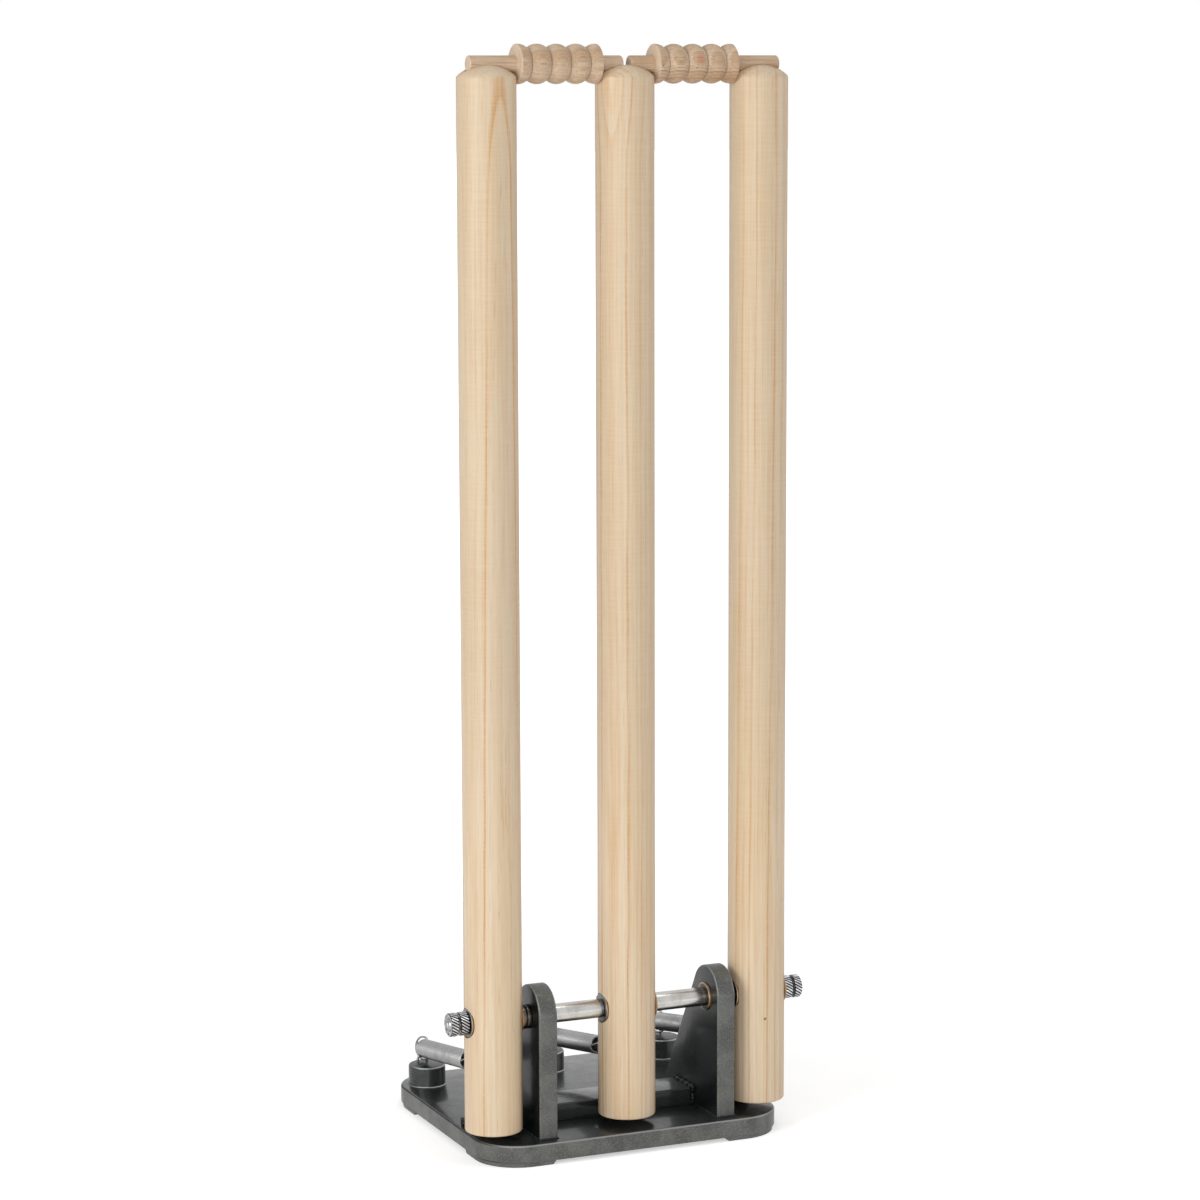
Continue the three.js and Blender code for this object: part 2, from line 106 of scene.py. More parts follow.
def math1(tree, operation, a, b=0.0, c=0.0):
    return put(tree, "Math", {0: a, 1: b, 2: c}, operation=operation).outputs[0]


def times(tree, a, b):
    return math1(tree, "MULTIPLY", a, b)


def vectorMath(tree, operation, a, b=zero, c=zero):
    return put(tree, "VectorMath", {0: a, 1: b, 2: c}, operation=operation).outputs[0]


def scaled(tree, vector, factor):
    return put(tree, "VectorMath", {0: vector, "Scale": factor}, operation="SCALE").outputs[0]


def measure(tree, operation, a, b=zero):
    return put(tree, "VectorMath", {0: a, 1: b}, operation=operation).outputs["Value"]


def fromAxis(tree, spot):
    return measure(tree, "LENGTH", vectorMath(tree, "MULTIPLY", spot, (1.0, 1.0, 0.0)))


def part(tree, vector, axis):
    return put(tree, "SeparateXYZ", {0: vector}).outputs[axis]


def squareness(tree, coordinates, axis=2):
    # 1 on faces square to an axis of their piece
    return math1(tree, "ABSOLUTE", part(tree, coordinates["Normal"], axis))


def mapRange(tree, value, low, high, toLow=0.0, toHigh=1.0, smooth=True):
    inputs = {"Value": value, "From Min": low, "From Max": high, "To Min": toLow, "To Max": toHigh}
    kind = "SMOOTHSTEP" if smooth else "LINEAR"
    return put(tree, "MapRange", inputs, interpolation_type=kind, clamp=True).outputs[0]


def pulse(tree, value, rise, full, fade, gone):
    # 0 up to rise, 1 from full to fade and 0 past gone
    return times(tree, mapRange(tree, value, rise, full), mapRange(tree, value, fade, gone, 1.0, 0.0))


def noise(tree, vector, scale, detail=2.0, roughness=0.5, distortion=0.0):
    return put(tree, "TexNoise", {
        "Vector": vector, "Scale": scale, "Detail": detail, "Roughness": roughness, "Distortion": distortion,
    }).outputs[0]


def mixColor(tree, amount, a, b):
    return put(tree, "Mix", {0: amount, 6: a, 7: b}, data_type="RGBA", clamp_factor=True).outputs[2]


def newGroup(name, inputs, outputs):
    tree = bpy.data.node_groups.new(name, "ShaderNodeTree")
    for label, default in inputs.items():
        kind = "NodeSocketFloat" if isinstance(default, float) else "NodeSocketVector"
        tree.interface.new_socket(name=label, in_out="INPUT", socket_type=kind).default_value = default
    for label in outputs:
        tree.interface.new_socket(name=label, in_out="OUTPUT", socket_type="NodeSocketFloat")
    start = tree.nodes.new("NodeGroupInput").outputs
    end = tree.nodes.new("NodeGroupOutput").inputs
    return tree, start, end


def placeGroup(tree, group, inputs):
    return put(tree, "Group", inputs, node_tree=group).outputs


def newMaterial(name):
    material = bpy.data.materials.new(name)
    material.use_nodes = True
    tree = material.node_tree
    return material, tree, tree.nodes["Principled BSDF"].inputs


def rgb(red, green, blue):
    # screen values from 0 to 255, as linear light
    def linear(value):
        share = value / 255
        return share / 12.92 if share <= 0.04045 else ((share + 0.055) / 1.055) ** 2.4
    return (linear(red), linear(green), linear(blue), 1.0)


# Wood: growth rings cut by a turned surface, with pores, fibres, cross ripples and slow clouds of colour.
# Each noise is given by its scale across and along the grain, its detail and its roughness.

grainShape = {
    "noise": {
        "drift": (14.0, 9.0, 4.0, 0.5),
        "whole": (120.0, 16.0, 3.0, 0.6),
        "speck": (1300.0, 55.0, 1.0, 0.5),
        "fibre": (620.0, 9.0, 4.0, 0.65),
        "ripple": (60.0, 700.0, 2.0, 0.55),
        "cloud": (40.0, 5.0, 3.0, 0.55),
    },
    "unevenScale": 0.4,
    "strengthSpan": (0.0, 1.0, 0.1, 1.0),
    "ringPulse": (0.0, 0.04, 0.06, 0.26),
    "wholeSpan": (0.32, 0.62, 0.3, 1.0),
    "innerRings": 3.0,
    "innerPulse": (0.0, 0.12, 0.16, 0.5),
    "speckSpan": (0.56, 0.68),
    "poreSpan": (0.0, 0.5, 0.3, 1.0),
}


def makeWoodGrain():
    shape = grainShape
    tree, start, end = newGroup("woodGrain", {
        "Vector": zero, "Pith": zero, "Slope": zero, "Bend": zero, "Bend Start": 0.0, "Bend Length": 0.1,
        "Ring Width": 0.003, "Wobble": 0.002, "Fineness": 1.0, "Seed": 0.0,
    }, ("Distance", "Line", "Fine Line", "Pore", "Fibre", "Ripple", "Cloud"))
    spot, seed = start["Vector"], start["Seed"]
    along = part(tree, spot, 2)
    past = math1(tree, "DIVIDE", math1(tree, "SUBTRACT", along, start["Bend Start"]), start["Bend Length"])
    lean = scaled(tree, start["Bend"], mapRange(tree, past, 0.0, 1.0))
    slant = scaled(tree, start["Slope"], along)
    centre = vectorMath(tree, "ADD", vectorMath(tree, "ADD", start["Pith"], slant), lean)
    distance = fromAxis(tree, vectorMath(tree, "SUBTRACT", spot, centre))
    shift = put(tree, "CombineXYZ", {0: seed, 1: seed, 2: seed}).outputs[0]
    fine = scaled(tree, spot, start["Fineness"])

    def stretched(kind):
        across, length, detail, roughness = shape["noise"][kind]
        place = vectorMath(tree, "MULTIPLY_ADD", fine, (across, across, length), shift)
        return noise(tree, place, 1.0, detail, roughness)

    drift = stretched("drift")
    bent = math1(tree, "MULTIPLY_ADD", math1(tree, "SUBTRACT", drift, 0.5), start["Wobble"], distance)
    steady = math1(tree, "DIVIDE", bent, start["Ring Width"])
    place = math1(tree, "MULTIPLY_ADD", steady, shape["unevenScale"], seed)
    inputs = {"W": place, "Scale": 1.0, "Detail": 1.0}
    uneven = put(tree, "TexNoise", inputs, noise_dimensions="1D").outputs[0]
    phase = math1(tree, "ADD", steady, uneven)
    number = math1(tree, "ADD", math1(tree, "FLOOR", phase), seed)
    chance = put(tree, "TexWhiteNoise", {"W": number}, noise_dimensions="1D").outputs["Value"]
    strength = mapRange(tree, times(tree, chance, chance), *shape["strengthSpan"], False)
    band = times(tree, pulse(tree, math1(tree, "FRACT", phase), *shape["ringPulse"]), strength)
    whole = mapRange(tree, stretched("whole"), *shape["wholeSpan"])
    inner = math1(tree, "FRACT", times(tree, phase, shape["innerRings"]))
    openness = mapRange(tree, stretched("speck"), *shape["speckSpan"])
    feed(tree, end, {
        "Distance": bent,
        "Line": times(tree, band, whole),
        "Fine Line": times(tree, pulse(tree, inner, *shape["innerPulse"]), whole),
        "Pore": times(tree, openness, mapRange(tree, band, *shape["poreSpan"])),
        "Fibre": stretched("fibre"),
        "Ripple": stretched("ripple"),
        "Cloud": stretched("cloud"),
    })
    return tree


# A soft round spot with a ragged rim, such as a pin knot, a reddish mark or a punch mark

raggedRim = {"scale": 900.0, "depth": 0.7}


def makeSpot():
    inputs = {"Vector": zero, "Centre": zero, "Radius": 0.001, "Edge": 0.5}
    tree, start, end = newGroup("softSpot", inputs, ["Mask"])
    distance = measure(tree, "LENGTH", vectorMath(tree, "SUBTRACT", start["Vector"], start["Centre"]))
    ragged = math1(tree, "SUBTRACT", noise(tree, start["Vector"], raggedRim["scale"]), 0.5)
    even = math1(tree, "DIVIDE", distance, start["Radius"])
    share = math1(tree, "MULTIPLY_ADD", ragged, raggedRim["depth"], even)
    core = math1(tree, "SUBTRACT", 1.0, start["Edge"])
    feed(tree, end, {"Mask": mapRange(tree, share, core, 1.0, 1.0, 0.0)})
    return tree


# Fine marks that every metal and paint shares: drawn lines, speckle, smudges and thin dust on what faces up.
# Each noise is given by its detail, its roughness and its distortion.

markShape = {
    "line": (4.0, 0.7),
    "speckle": (2.0, 0.6),
    "smudgeScale": 55.0,
    "smudge": (4.0, 0.6, 0.4),
    "dustScale": 240.0,
    "dust": (5.0, 0.7),
    "upSpan": (0.6, 1.0),
    "dustSpan": (0.45, 0.75),
}


def makeSurfaceMarks():
    shape = markShape
    tree, start, end = newGroup("surfaceMarks", {
        "Vector": zero, "Line Scale": (200.0, 200.0, 200.0), "Speckle Scale": 1500.0, "Seed": 0.0,
    }, ("Line", "Speckle", "Smudge", "Dust"))
    spot, seed = start["Vector"], start["Seed"]
    shift = put(tree, "CombineXYZ", {0: seed, 1: seed, 2: seed}).outputs[0]
    drawn = vectorMath(tree, "MULTIPLY_ADD", spot, start["Line Scale"], shift)
    moved = vectorMath(tree, "ADD", spot, shift)
    up = part(tree, put(tree, "NewGeometry").outputs["Normal"], 2)
    dusty = mapRange(tree, noise(tree, moved, shape["dustScale"], *shape["dust"]), *shape["dustSpan"])
    feed(tree, end, {
        "Line": noise(tree, drawn, 1.0, *shape["line"]),
        "Speckle": noise(tree, moved, start["Speckle Scale"], *shape["speckle"]),
        "Smudge": noise(tree, moved, shape["smudgeScale"], *shape["smudge"]),
        "Dust": times(tree, mapRange(tree, up, *shape["upSpan"]), dusty),
    })
    return tree


woodGrain = makeWoodGrain()
softSpot = makeSpot()
surfaceMarks = makeSurfaceMarks()
print("Shader groups ready")


# Materials

ringEdges = ((-0.25, 0.0), (0.0, 1.0), (0.6, 0.6), (1.4, 0.0))


def ringLines(tree, distance, rings, reach):
    # chosen growth rings as (distance from the pith in mm, strength), each sharp inside and soft outside
    low, high = reach
    ramp = put(tree, "ValToRGB", {0: mapRange(tree, distance, low * mm, high * mm, 0.0, 1.0, False)})
    stops = ramp.color_ramp.elements
    stops[0].color = (0, 0, 0, 1)
    stops[1].color = (0, 0, 0, 1)
    for ring, strength in rings:
        for shift, share in ringEdges:
            value = strength * share
            stops.new((ring + shift - low) / (high - low)).color = (value, value, value, 1)
    return ramp.outputs[0]


def spotted(tree, spot, tone, look, side):
    # the few round marks of one piece, as (tone, centre and radius in mm, depth)
    for mark, centre, radius, depth in look["spots"].get(side, ()):
        place = tuple(value * mm for value in centre)
        mask = placeGroup(tree, softSpot, {
            "Vector": spot, "Centre": place, "Radius": radius * mm, "Edge": look["spotEdge"],
        })["Mask"]
        tone = mixColor(tree, times(tree, mask, depth), tone, look[mark])
    return tone


def dress(tree, skin, tone, roughness, height, bump, more=None):
    strength, depth = bump
    normal = put(tree, "Bump", {"Height": height, "Strength": strength, "Distance": depth * mm}).outputs[0]
    feed(tree, skin, {"Base Color": tone, "Roughness": roughness, "Normal": normal, **(more or {})})


def roughBy(tree, mark, limits):
    low, high = 0.3, 0.7
    return mapRange(tree, mark, low, high, *limits, False)


# Spans are what a mark is mapped from and to. The woods' keys in capitals are sockets of woodGrain.

ashLook = {
    "cream": rgb(229, 210, 183),
    "tan": rgb(222, 199, 165),
    "cloudSpan": (0.42, 0.66),
    # the stumps are darker and more tan towards the top
    "upperTone": rgb(202, 183, 154),
    "upperSpan": (0.13, 0.32, 0.0, 0.6),
    "heart": rgb(217, 182, 134),
    "heartDepth": 0.35,
    "heartEdge": 0.3,
    "line": rgb(196, 144, 84),
    "lineDepth": 0.95,
    "brokenSpan": (0.34, 0.62, 0.45, 1.0),
    "fibreSpan": (0.4, 0.75, 0.0, 0.36),
    "rippleSpan": (0.4, 0.7, 0.0, 0.3),
    "pore": rgb(186, 144, 94),
    "poreDepth": 0.35,
    "fleck": rgb(120, 96, 74),
    # edge is painted shade: the wood turns darker and more orange towards its outline as seen from the
    # camera
    "edge": rgb(164, 116, 70),
    "outlineShadeSpan": (0.66, 0.92, 0.0, 0.55),
    "roughness": (0.42, 0.54),
    "coat": {"Coat Weight": 0.1, "Coat Roughness": 0.35},
    "poreRelief": -0.7,
    "bump": (0.2, 0.2),
    "grain": {
        "left": {
            "wood": {"Pith": (0.0036, -0.0408, 0), "Slope": (0.0009, -0.01, 0), "Bend": (0.0002, -0.0028, 0),
                     "Bend Start": 0.615, "Bend Length": 0.075, "Ring Width": 0.0042, "Wobble": 0.0024,
                     "Seed": 3.1},
            "reach": (24, 68), "heart": (29.2, 31.2), "usual": 0.06, "faint": 0.05,
            "rings": [(30.7, 1.0), (37.2, 0.3), (45.0, 0.2)],
        },
        "middle": {
            "wood": {"Pith": (-0.0383, -0.0321, 0), "Bend": (0.0023, 0.0019, 0), "Bend Start": 0.625,
                     "Bend Length": 0.065, "Ring Width": 0.0031, "Wobble": 0.003, "Seed": 7.7},
            "reach": (24, 68), "heart": (27.0, 29.0), "usual": 0.13, "faint": 0.05,
            "rings": [(28.2, 0.4), (30.2, 0.55), (34.4, 1.0), (39.6, 0.2), (42.6, 0.6), (46.4, 0.3),
                      (51.2, 0.4)],
        },
        "right": {
            "wood": {"Pith": (-0.0591, 0.0104, 0), "Bend": (0.004, -0.0007, 0), "Bend Length": 0.69,
                     "Ring Width": 0.0046, "Wobble": 0.0024, "Seed": 12.4},
            "reach": (38, 82), "heart": (43.5, 46.0), "usual": 0.1, "faint": 0.06,
            "rings": [(43.9, 0.6), (48.2, 0.4), (52.6, 0.8), (57.4, 0.3), (64.9, 1.0), (70.3, 0.5),
                      (74.5, 0.6)],
        },
    },
    "spots": {"right": [("fleck", (-2.3, -18.9, 58.5), 1.25, 1.0)]},
    "spotEdge": 0.6,
}


def ash(side):
    look = ashLook
    grain = look["grain"][side]
    material, tree, skin = newMaterial(side + "Ash")
    spot = put(tree, "TexCoord").outputs["Object"]
    marks = placeGroup(tree, woodGrain, {"Vector": spot, **grain["wood"]})
    tone = mixColor(tree, mapRange(tree, marks["Cloud"], *look["cloudSpan"]), look["cream"], look["tan"])
    # darker and more tan from about a fifth of the way up towards the top
    tone = mixColor(tree, mapRange(tree, part(tree, spot, 2), *look["upperSpan"]), tone, look["upperTone"])
    low, high = grain["heart"]
    past = high + look["heartEdge"]
    heart = mapRange(tree, marks["Distance"], low * mm, high * mm, 0.0, look["heartDepth"])
    beyond = mapRange(tree, marks["Distance"], high * mm, past * mm, 1.0, 0.0)
    tone = mixColor(tree, times(tree, heart, beyond), tone, look["heart"])
    chosen = ringLines(tree, marks["Distance"], grain["rings"], grain["reach"])
    faint = times(tree, marks["Fine Line"], grain["faint"])
    usual = math1(tree, "MULTIPLY_ADD", marks["Line"], grain["usual"], faint)
    lines = math1(tree, "MAXIMUM", times(tree, chosen, look["lineDepth"]), usual)
    broken = times(tree, lines, mapRange(tree, marks["Fibre"], *look["brokenSpan"]))
    tone = mixColor(tree, broken, tone, look["line"])
    tone = mixColor(tree, mapRange(tree, marks["Fibre"], *look["fibreSpan"], False), tone, look["line"])
    tone = mixColor(tree, mapRange(tree, marks["Ripple"], *look["rippleSpan"], False), tone, look["tan"])
    tone = mixColor(tree, times(tree, marks["Pore"], look["poreDepth"]), tone, look["pore"])
    tone = spotted(tree, spot, tone, look, side)
    # painted shade towards the outline seen from the camera
    glance = put(tree, "LayerWeight", {"Blend": 0.5}).outputs["Facing"]
    tone = mixColor(tree, mapRange(tree, glance, *look["outlineShadeSpan"]), tone, look["edge"])
    relief = math1(tree, "MULTIPLY_ADD", marks["Pore"], look["poreRelief"], marks["Fibre"])
    rough = roughBy(tree, marks["Fibre"], look["roughness"])
    dress(tree, skin, tone, rough, relief, look["bump"], look["coat"])
    return material


beechLook = {
    "pale": rgb(218, 195, 168),
    "tan": rgb(198, 168, 137),
    "cloudSpan": (0.38, 0.64),
    "patch": rgb(194, 160, 126),
    "patchEdge": 0.4,
    "streak": rgb(168, 122, 80),
    "line": rgb(152, 114, 80),
    "lineDepth": 0.5,
    "fineShare": 0.2,
    "fibreSpan": (0.42, 0.72, 0.0, 0.6),
    "poreDepth": 0.6,
    # end is painted light: the bail's end faces are made paler to stand for the light they catch
    "end": rgb(232, 214, 192),
    "endSpan": (0.5, 0.85, 0.0, 0.45),
    "fleck": rgb(104, 68, 46),
    "blush": rgb(196, 118, 100),
    "roughness": (0.6, 0.76),
    "poreRelief": -0.8,
    "bump": (0.5, 0.3),
    "wood": {"Bend Length": 0.11, "Fineness": 1.8},
    "grain": {
        "left": {
            "wood": {"Pith": (-0.034, -0.018, 0), "Bend": (0.006, 0.004, 0), "Ring Width": 0.0017,
                     "Wobble": 0.0016, "Seed": 21.0},
            "reach": (24, 60), "rings": [(31.6, 0.3), (38.2, 0.25)],
        },
        "right": {
            "wood": {"Pith": (0.060, 0.004, 0), "Bend": (0.0012, 0.0, 0), "Ring Width": 0.0015,
                     "Wobble": 0.0012, "Seed": 33.5},
            "reach": (48, 80), "rings": [(65.0, 0.35), (67.0, 0.75), (68.8, 0.6), (70.4, 0.7)],
            "patches": {"toward": (0.3, -0.95, 0), "from": 11.3, "depth": 0.65},
        },
    },
    "spots": {"right": [("blush", (3.1, -12.2, 59.8), 3.8, 0.6), ("fleck", (-2.8, -12.3, 62.4), 0.85, 0.9),
                        ("fleck", (-1.2, -12.5, 86.2), 0.85, 0.9)]},
    "spotEdge": 0.8,
}


def beech(side):
    look = beechLook
    grain = look["grain"][side]
    material, tree, skin = newMaterial(side + "Beech")
    coordinates = put(tree, "TexCoord").outputs
    spot = coordinates["Object"]
    marks = placeGroup(tree, woodGrain, {"Vector": spot, **look["wood"], **grain["wood"]})
    tone = mixColor(tree, mapRange(tree, marks["Cloud"], *look["cloudSpan"]), look["pale"], look["tan"])
    if "patches" in grain:
        patches = grain["patches"]
        toward = measure(tree, "DOT_PRODUCT", spot, patches["toward"])
        start, end = patches["from"] * mm, (patches["from"] + look["patchEdge"]) * mm
        tone = mixColor(tree, mapRange(tree, toward, start, end, 0.0, patches["depth"]), tone, look["patch"])
    chosen = ringLines(tree, marks["Distance"], grain["rings"], grain["reach"])
    tone = mixColor(tree, chosen, tone, look["streak"])
    rings = math1(tree, "MULTIPLY_ADD", marks["Fine Line"], look["fineShare"], marks["Line"])
    tone = mixColor(tree, times(tree, rings, look["lineDepth"]), tone, look["line"])
    tone = mixColor(tree, mapRange(tree, marks["Fibre"], *look["fibreSpan"], False), tone, look["line"])
    tone = mixColor(tree, times(tree, marks["Pore"], look["poreDepth"]), tone, look["fleck"])
    tone = spotted(tree, spot, tone, look, side)
    # painted light: paler end faces
    ends = mapRange(tree, squareness(tree, coordinates), *look["endSpan"])
    tone = mixColor(tree, ends, tone, look["end"])
    relief = math1(tree, "MULTIPLY_ADD", marks["Pore"], look["poreRelief"], marks["Fibre"])
    dress(tree, skin, tone, roughBy(tree, marks["Fibre"], look["roughness"]), relief, look["bump"])
    return material


paintLook = {
    # rim is the paint's own tone; post, face and side are darker copies of it, painted shade for faces that
    # catch less light
    "litAndShadedTones": {
        "rim": {"dark": rgb(78, 79, 77), "light": rgb(97, 98, 95), "flake": rgb(132, 132, 128)},
        "post": {"dark": rgb(36, 39, 39), "light": rgb(54, 57, 57), "flake": rgb(82, 85, 85)},
        "face": {"dark": rgb(22, 26, 27), "light": rgb(34, 38, 39), "flake": rgb(52, 56, 57)},
        "side": {"dark": rgb(12, 16, 17), "light": rgb(20, 24, 25), "flake": rgb(34, 38, 39)},
    },
    "lightSpan": (0.35, 0.65),
    "flakeSpan": (0.45, 0.75, 0.0, 0.6),
    "flatSpan": (0.9, 0.98),
    "turnedPulse": (0.2, 0.45, 0.82, 0.95),
    "shade": rgb(8, 9, 10),
    "shadeWay": (-0.96, 0.28, 0.0),
    "shadeSpan": (0.3, 0.5),
    # a lighter tone on rounded edges facing the front and up: a painted highlight where the lamps catch them
    "paintedHighlight": rgb(178, 180, 180),
    "paintedHighlightWay": (0.0, -0.6, 0.8),
    "paintedHighlightSpan": (0.6, 0.85),
    "dust": rgb(150, 148, 142),
    "dustDepth": 0.05,
    "rimRoughness": (0.42, 0.58),
    "flatRoughness": (0.26, 0.4),
    "metallic": (0.45, 0.1),
    "gloss": {"Coat Roughness": 0.1, "Specular IOR Level": 0.2},
    "marks": {"Line Scale": (90.0, 90.0, 90.0), "Seed": 5.0},
    "usual": {"axis": 2, "shade": 0.0, "paintedHighlight": 0.0, "peel": 420.0, "bump": (0.12, 0.4)},
    "kinds": {
        "cast": {"rim": "rim", "flat": "face", "coat": (0.25, 0.42), "shade": 0.9, "paintedHighlight": 0.4},
        "upright": {"rim": "rim", "flat": "side", "coat": (0.25, 0.2), "paintedHighlight": 0.5},
        "post": {"rim": "post", "flat": "side", "coat": (0.5, 0.1), "paintedHighlight": 1.0},
        "bar": {"rim": "face", "flat": "face", "axis": 1, "coat": (0.5, 0.55), "paintedHighlight": 0.1, "peel": 330.0,
                "bump": (0.8, 0.4)},
        "weld": {"rim": "side", "flat": "side", "coat": (0.25, 0.25), "peel": 900.0, "bump": (0.5, 0.4)},
    },
}


def paint(kind):
    # faces square to one axis of the piece are smooth and take a dark tone, the rims between them are
    # speckled and lighter; the dark tones are painted shade, shaded copies of one paint
    look = paintLook
    own = {**look["usual"], **look["kinds"][kind]}
    material, tree, skin = newMaterial(kind + "Paint")
    coordinates = put(tree, "TexCoord").outputs
    spot = coordinates["Object"]
    marks = placeGroup(tree, surfaceMarks, {"Vector": spot, **look["marks"]})
    square = squareness(tree, coordinates, own["axis"])
    flat = mapRange(tree, square, *look["flatSpan"])
    light = mapRange(tree, marks["Smudge"], *look["lightSpan"])
    flake = mapRange(tree, marks["Speckle"], *look["flakeSpan"])
    litAndShadedTones = []
    for place in ("rim", "flat"):
        shades = look["litAndShadedTones"][own[place]]
        base = mixColor(tree, light, shades["dark"], shades["light"])
        litAndShadedTones.append(mixColor(tree, flake, base, shades["flake"]))
    tone = mixColor(tree, flat, *litAndShadedTones)
    turned = pulse(tree, square, *look["turnedPulse"])
    out = put(tree, "NewGeometry").outputs["Normal"]
    share = {}
    # painted shade on rounded edges facing left, then painted highlights on rounded edges facing front and
    # up
    for mark in ("shade", "paintedHighlight"):
        toward = measure(tree, "DOT_PRODUCT", out, look[mark + "Way"])
        share[mark] = times(tree, turned, mapRange(tree, toward, *look[mark + "Span"], 0.0, own[mark]))
        tone = mixColor(tree, share[mark], tone, look[mark])
    tone = mixColor(tree, times(tree, marks["Dust"], look["dustDepth"]), tone, look["dust"])
    rim, face = (roughBy(tree, marks["Line"], look[key]) for key in ("rimRoughness", "flatRoughness"))
    rough = put(tree, "Mix", {0: flat, 2: rim, 3: face}).outputs[0]
    metallic = mapRange(tree, flat, 0.0, 1.0, *look["metallic"], False)
    coated = mapRange(tree, flat, 0.0, 1.0, *own["coat"], False)
    coat = times(tree, coated, math1(tree, "SUBTRACT", 1.0, share["shade"]))
    dress(tree, skin, tone, rough, noise(tree, spot, own["peel"], 3.0), own["bump"],
          {"Metallic": metallic, "Coat Weight": coat, **look["gloss"]})
    return material


# Bands, collars and spots are in mm, measured from the axis of the turned piece

castMottle = {"scale": 1100.0, "tone": rgb(84, 86, 88), "depth": 0.85}
metalLook = {
    "bright": {
        "clean": rgb(198, 196, 193), "dull": rgb(136, 132, 126), "rough": (0.16, 0.34), "bump": (0.06, 0.2),
        "marks": {"Line Scale": (1500.0, 1500.0, 45.0), "Seed": 2.0},
    },
    "rod": {
        "clean": rgb(170, 172, 174), "dull": rgb(96, 96, 96), "rough": (0.3, 0.45), "bump": (0.06, 0.2),
        "marks": {"Line Scale": (900.0, 900.0, 900.0), "Seed": 27.0},
        # a near-white spot at the centre of each rod end: a painted highlight
        "band": {"tone": rgb(250, 250, 250), "low": 1.1, "high": 1.5, "inside": True, "sidesOnly": False},
        "mottle": castMottle,
    },
    # the warm brown in the washers' tones is a painted reflection of the wood beside them
    "washer": {
        "clean": rgb(100, 92, 84), "dull": rgb(50, 44, 40), "rough": (0.2, 0.36), "bump": (0.06, 0.2),
        "marks": {"Line Scale": (900.0, 900.0, 900.0), "Seed": 31.0},
    },
    "wire": {
        "clean": rgb(156, 156, 156), "dull": rgb(92, 92, 92), "rough": (0.28, 0.42), "bump": (0.05, 0.2),
        "marks": {"Line Scale": (700.0, 700.0, 700.0), "Seed": 14.0},
    },
    "nut": {
        "clean": rgb(198, 199, 200), "dull": rgb(112, 112, 112), "rough": (0.22, 0.4), "bump": (0.1, 0.2),
        "marks": {"Line Scale": (900.0, 900.0, 900.0), "Seed": 9.0},
        # a near-black band in the knurl grooves on the nut's sides: painted shade in the grooves
        "band": {"tone": rgb(14, 14, 16), "low": 7.4, "high": 7.72, "inside": True, "sidesOnly": True},
        "mottle": castMottle,
        "dot": rgb(18, 18, 20), "spots": {"nut": [("dot", (-5.9, 0.0, 0.0), 1.0, 1.0)]}, "spotEdge": 0.4,
    },
    "stumpBush": {
        "clean": rgb(104, 104, 106), "dull": rgb(52, 52, 54), "rough": (0.24, 0.44), "bump": (0.08, 0.2),
        "marks": {"Line Scale": (800.0, 800.0, 800.0), "Seed": 24.0},
        # the brown band low on the flange rim is partly the bush's own brown metal and partly painted shade
        # and reflection of the wood at the seat
        "collar": {"tone": rgb(132, 88, 44), "edge": rgb(150, 136, 116), "brownTo": 17.7, "edgeTo": 18.5,
                   "radius": 9.3},
    },
    "uprightBush": {
        "clean": rgb(58, 60, 60), "dull": rgb(32, 34, 34), "rough": (0.24, 0.4), "bump": (0.08, 0.2),
        "marks": {"Line Scale": (800.0, 800.0, 800.0), "Seed": 19.0},
        "band": {"tone": rgb(168, 138, 106), "low": 8.5, "high": 8.8, "inside": False, "sidesOnly": False},
    },
}
metalWear = {
    "stainSpan": (0.45, 0.75, 0.0, 0.55),
    "lineSpan": (0.5, 0.8, 0.0, 0.35),
    "endSpan": (0.6, 0.8),
    "castNoise": (3.0, 0.6),
    "castSpan": (0.4, 0.6),
    "blur": 0.1,
}


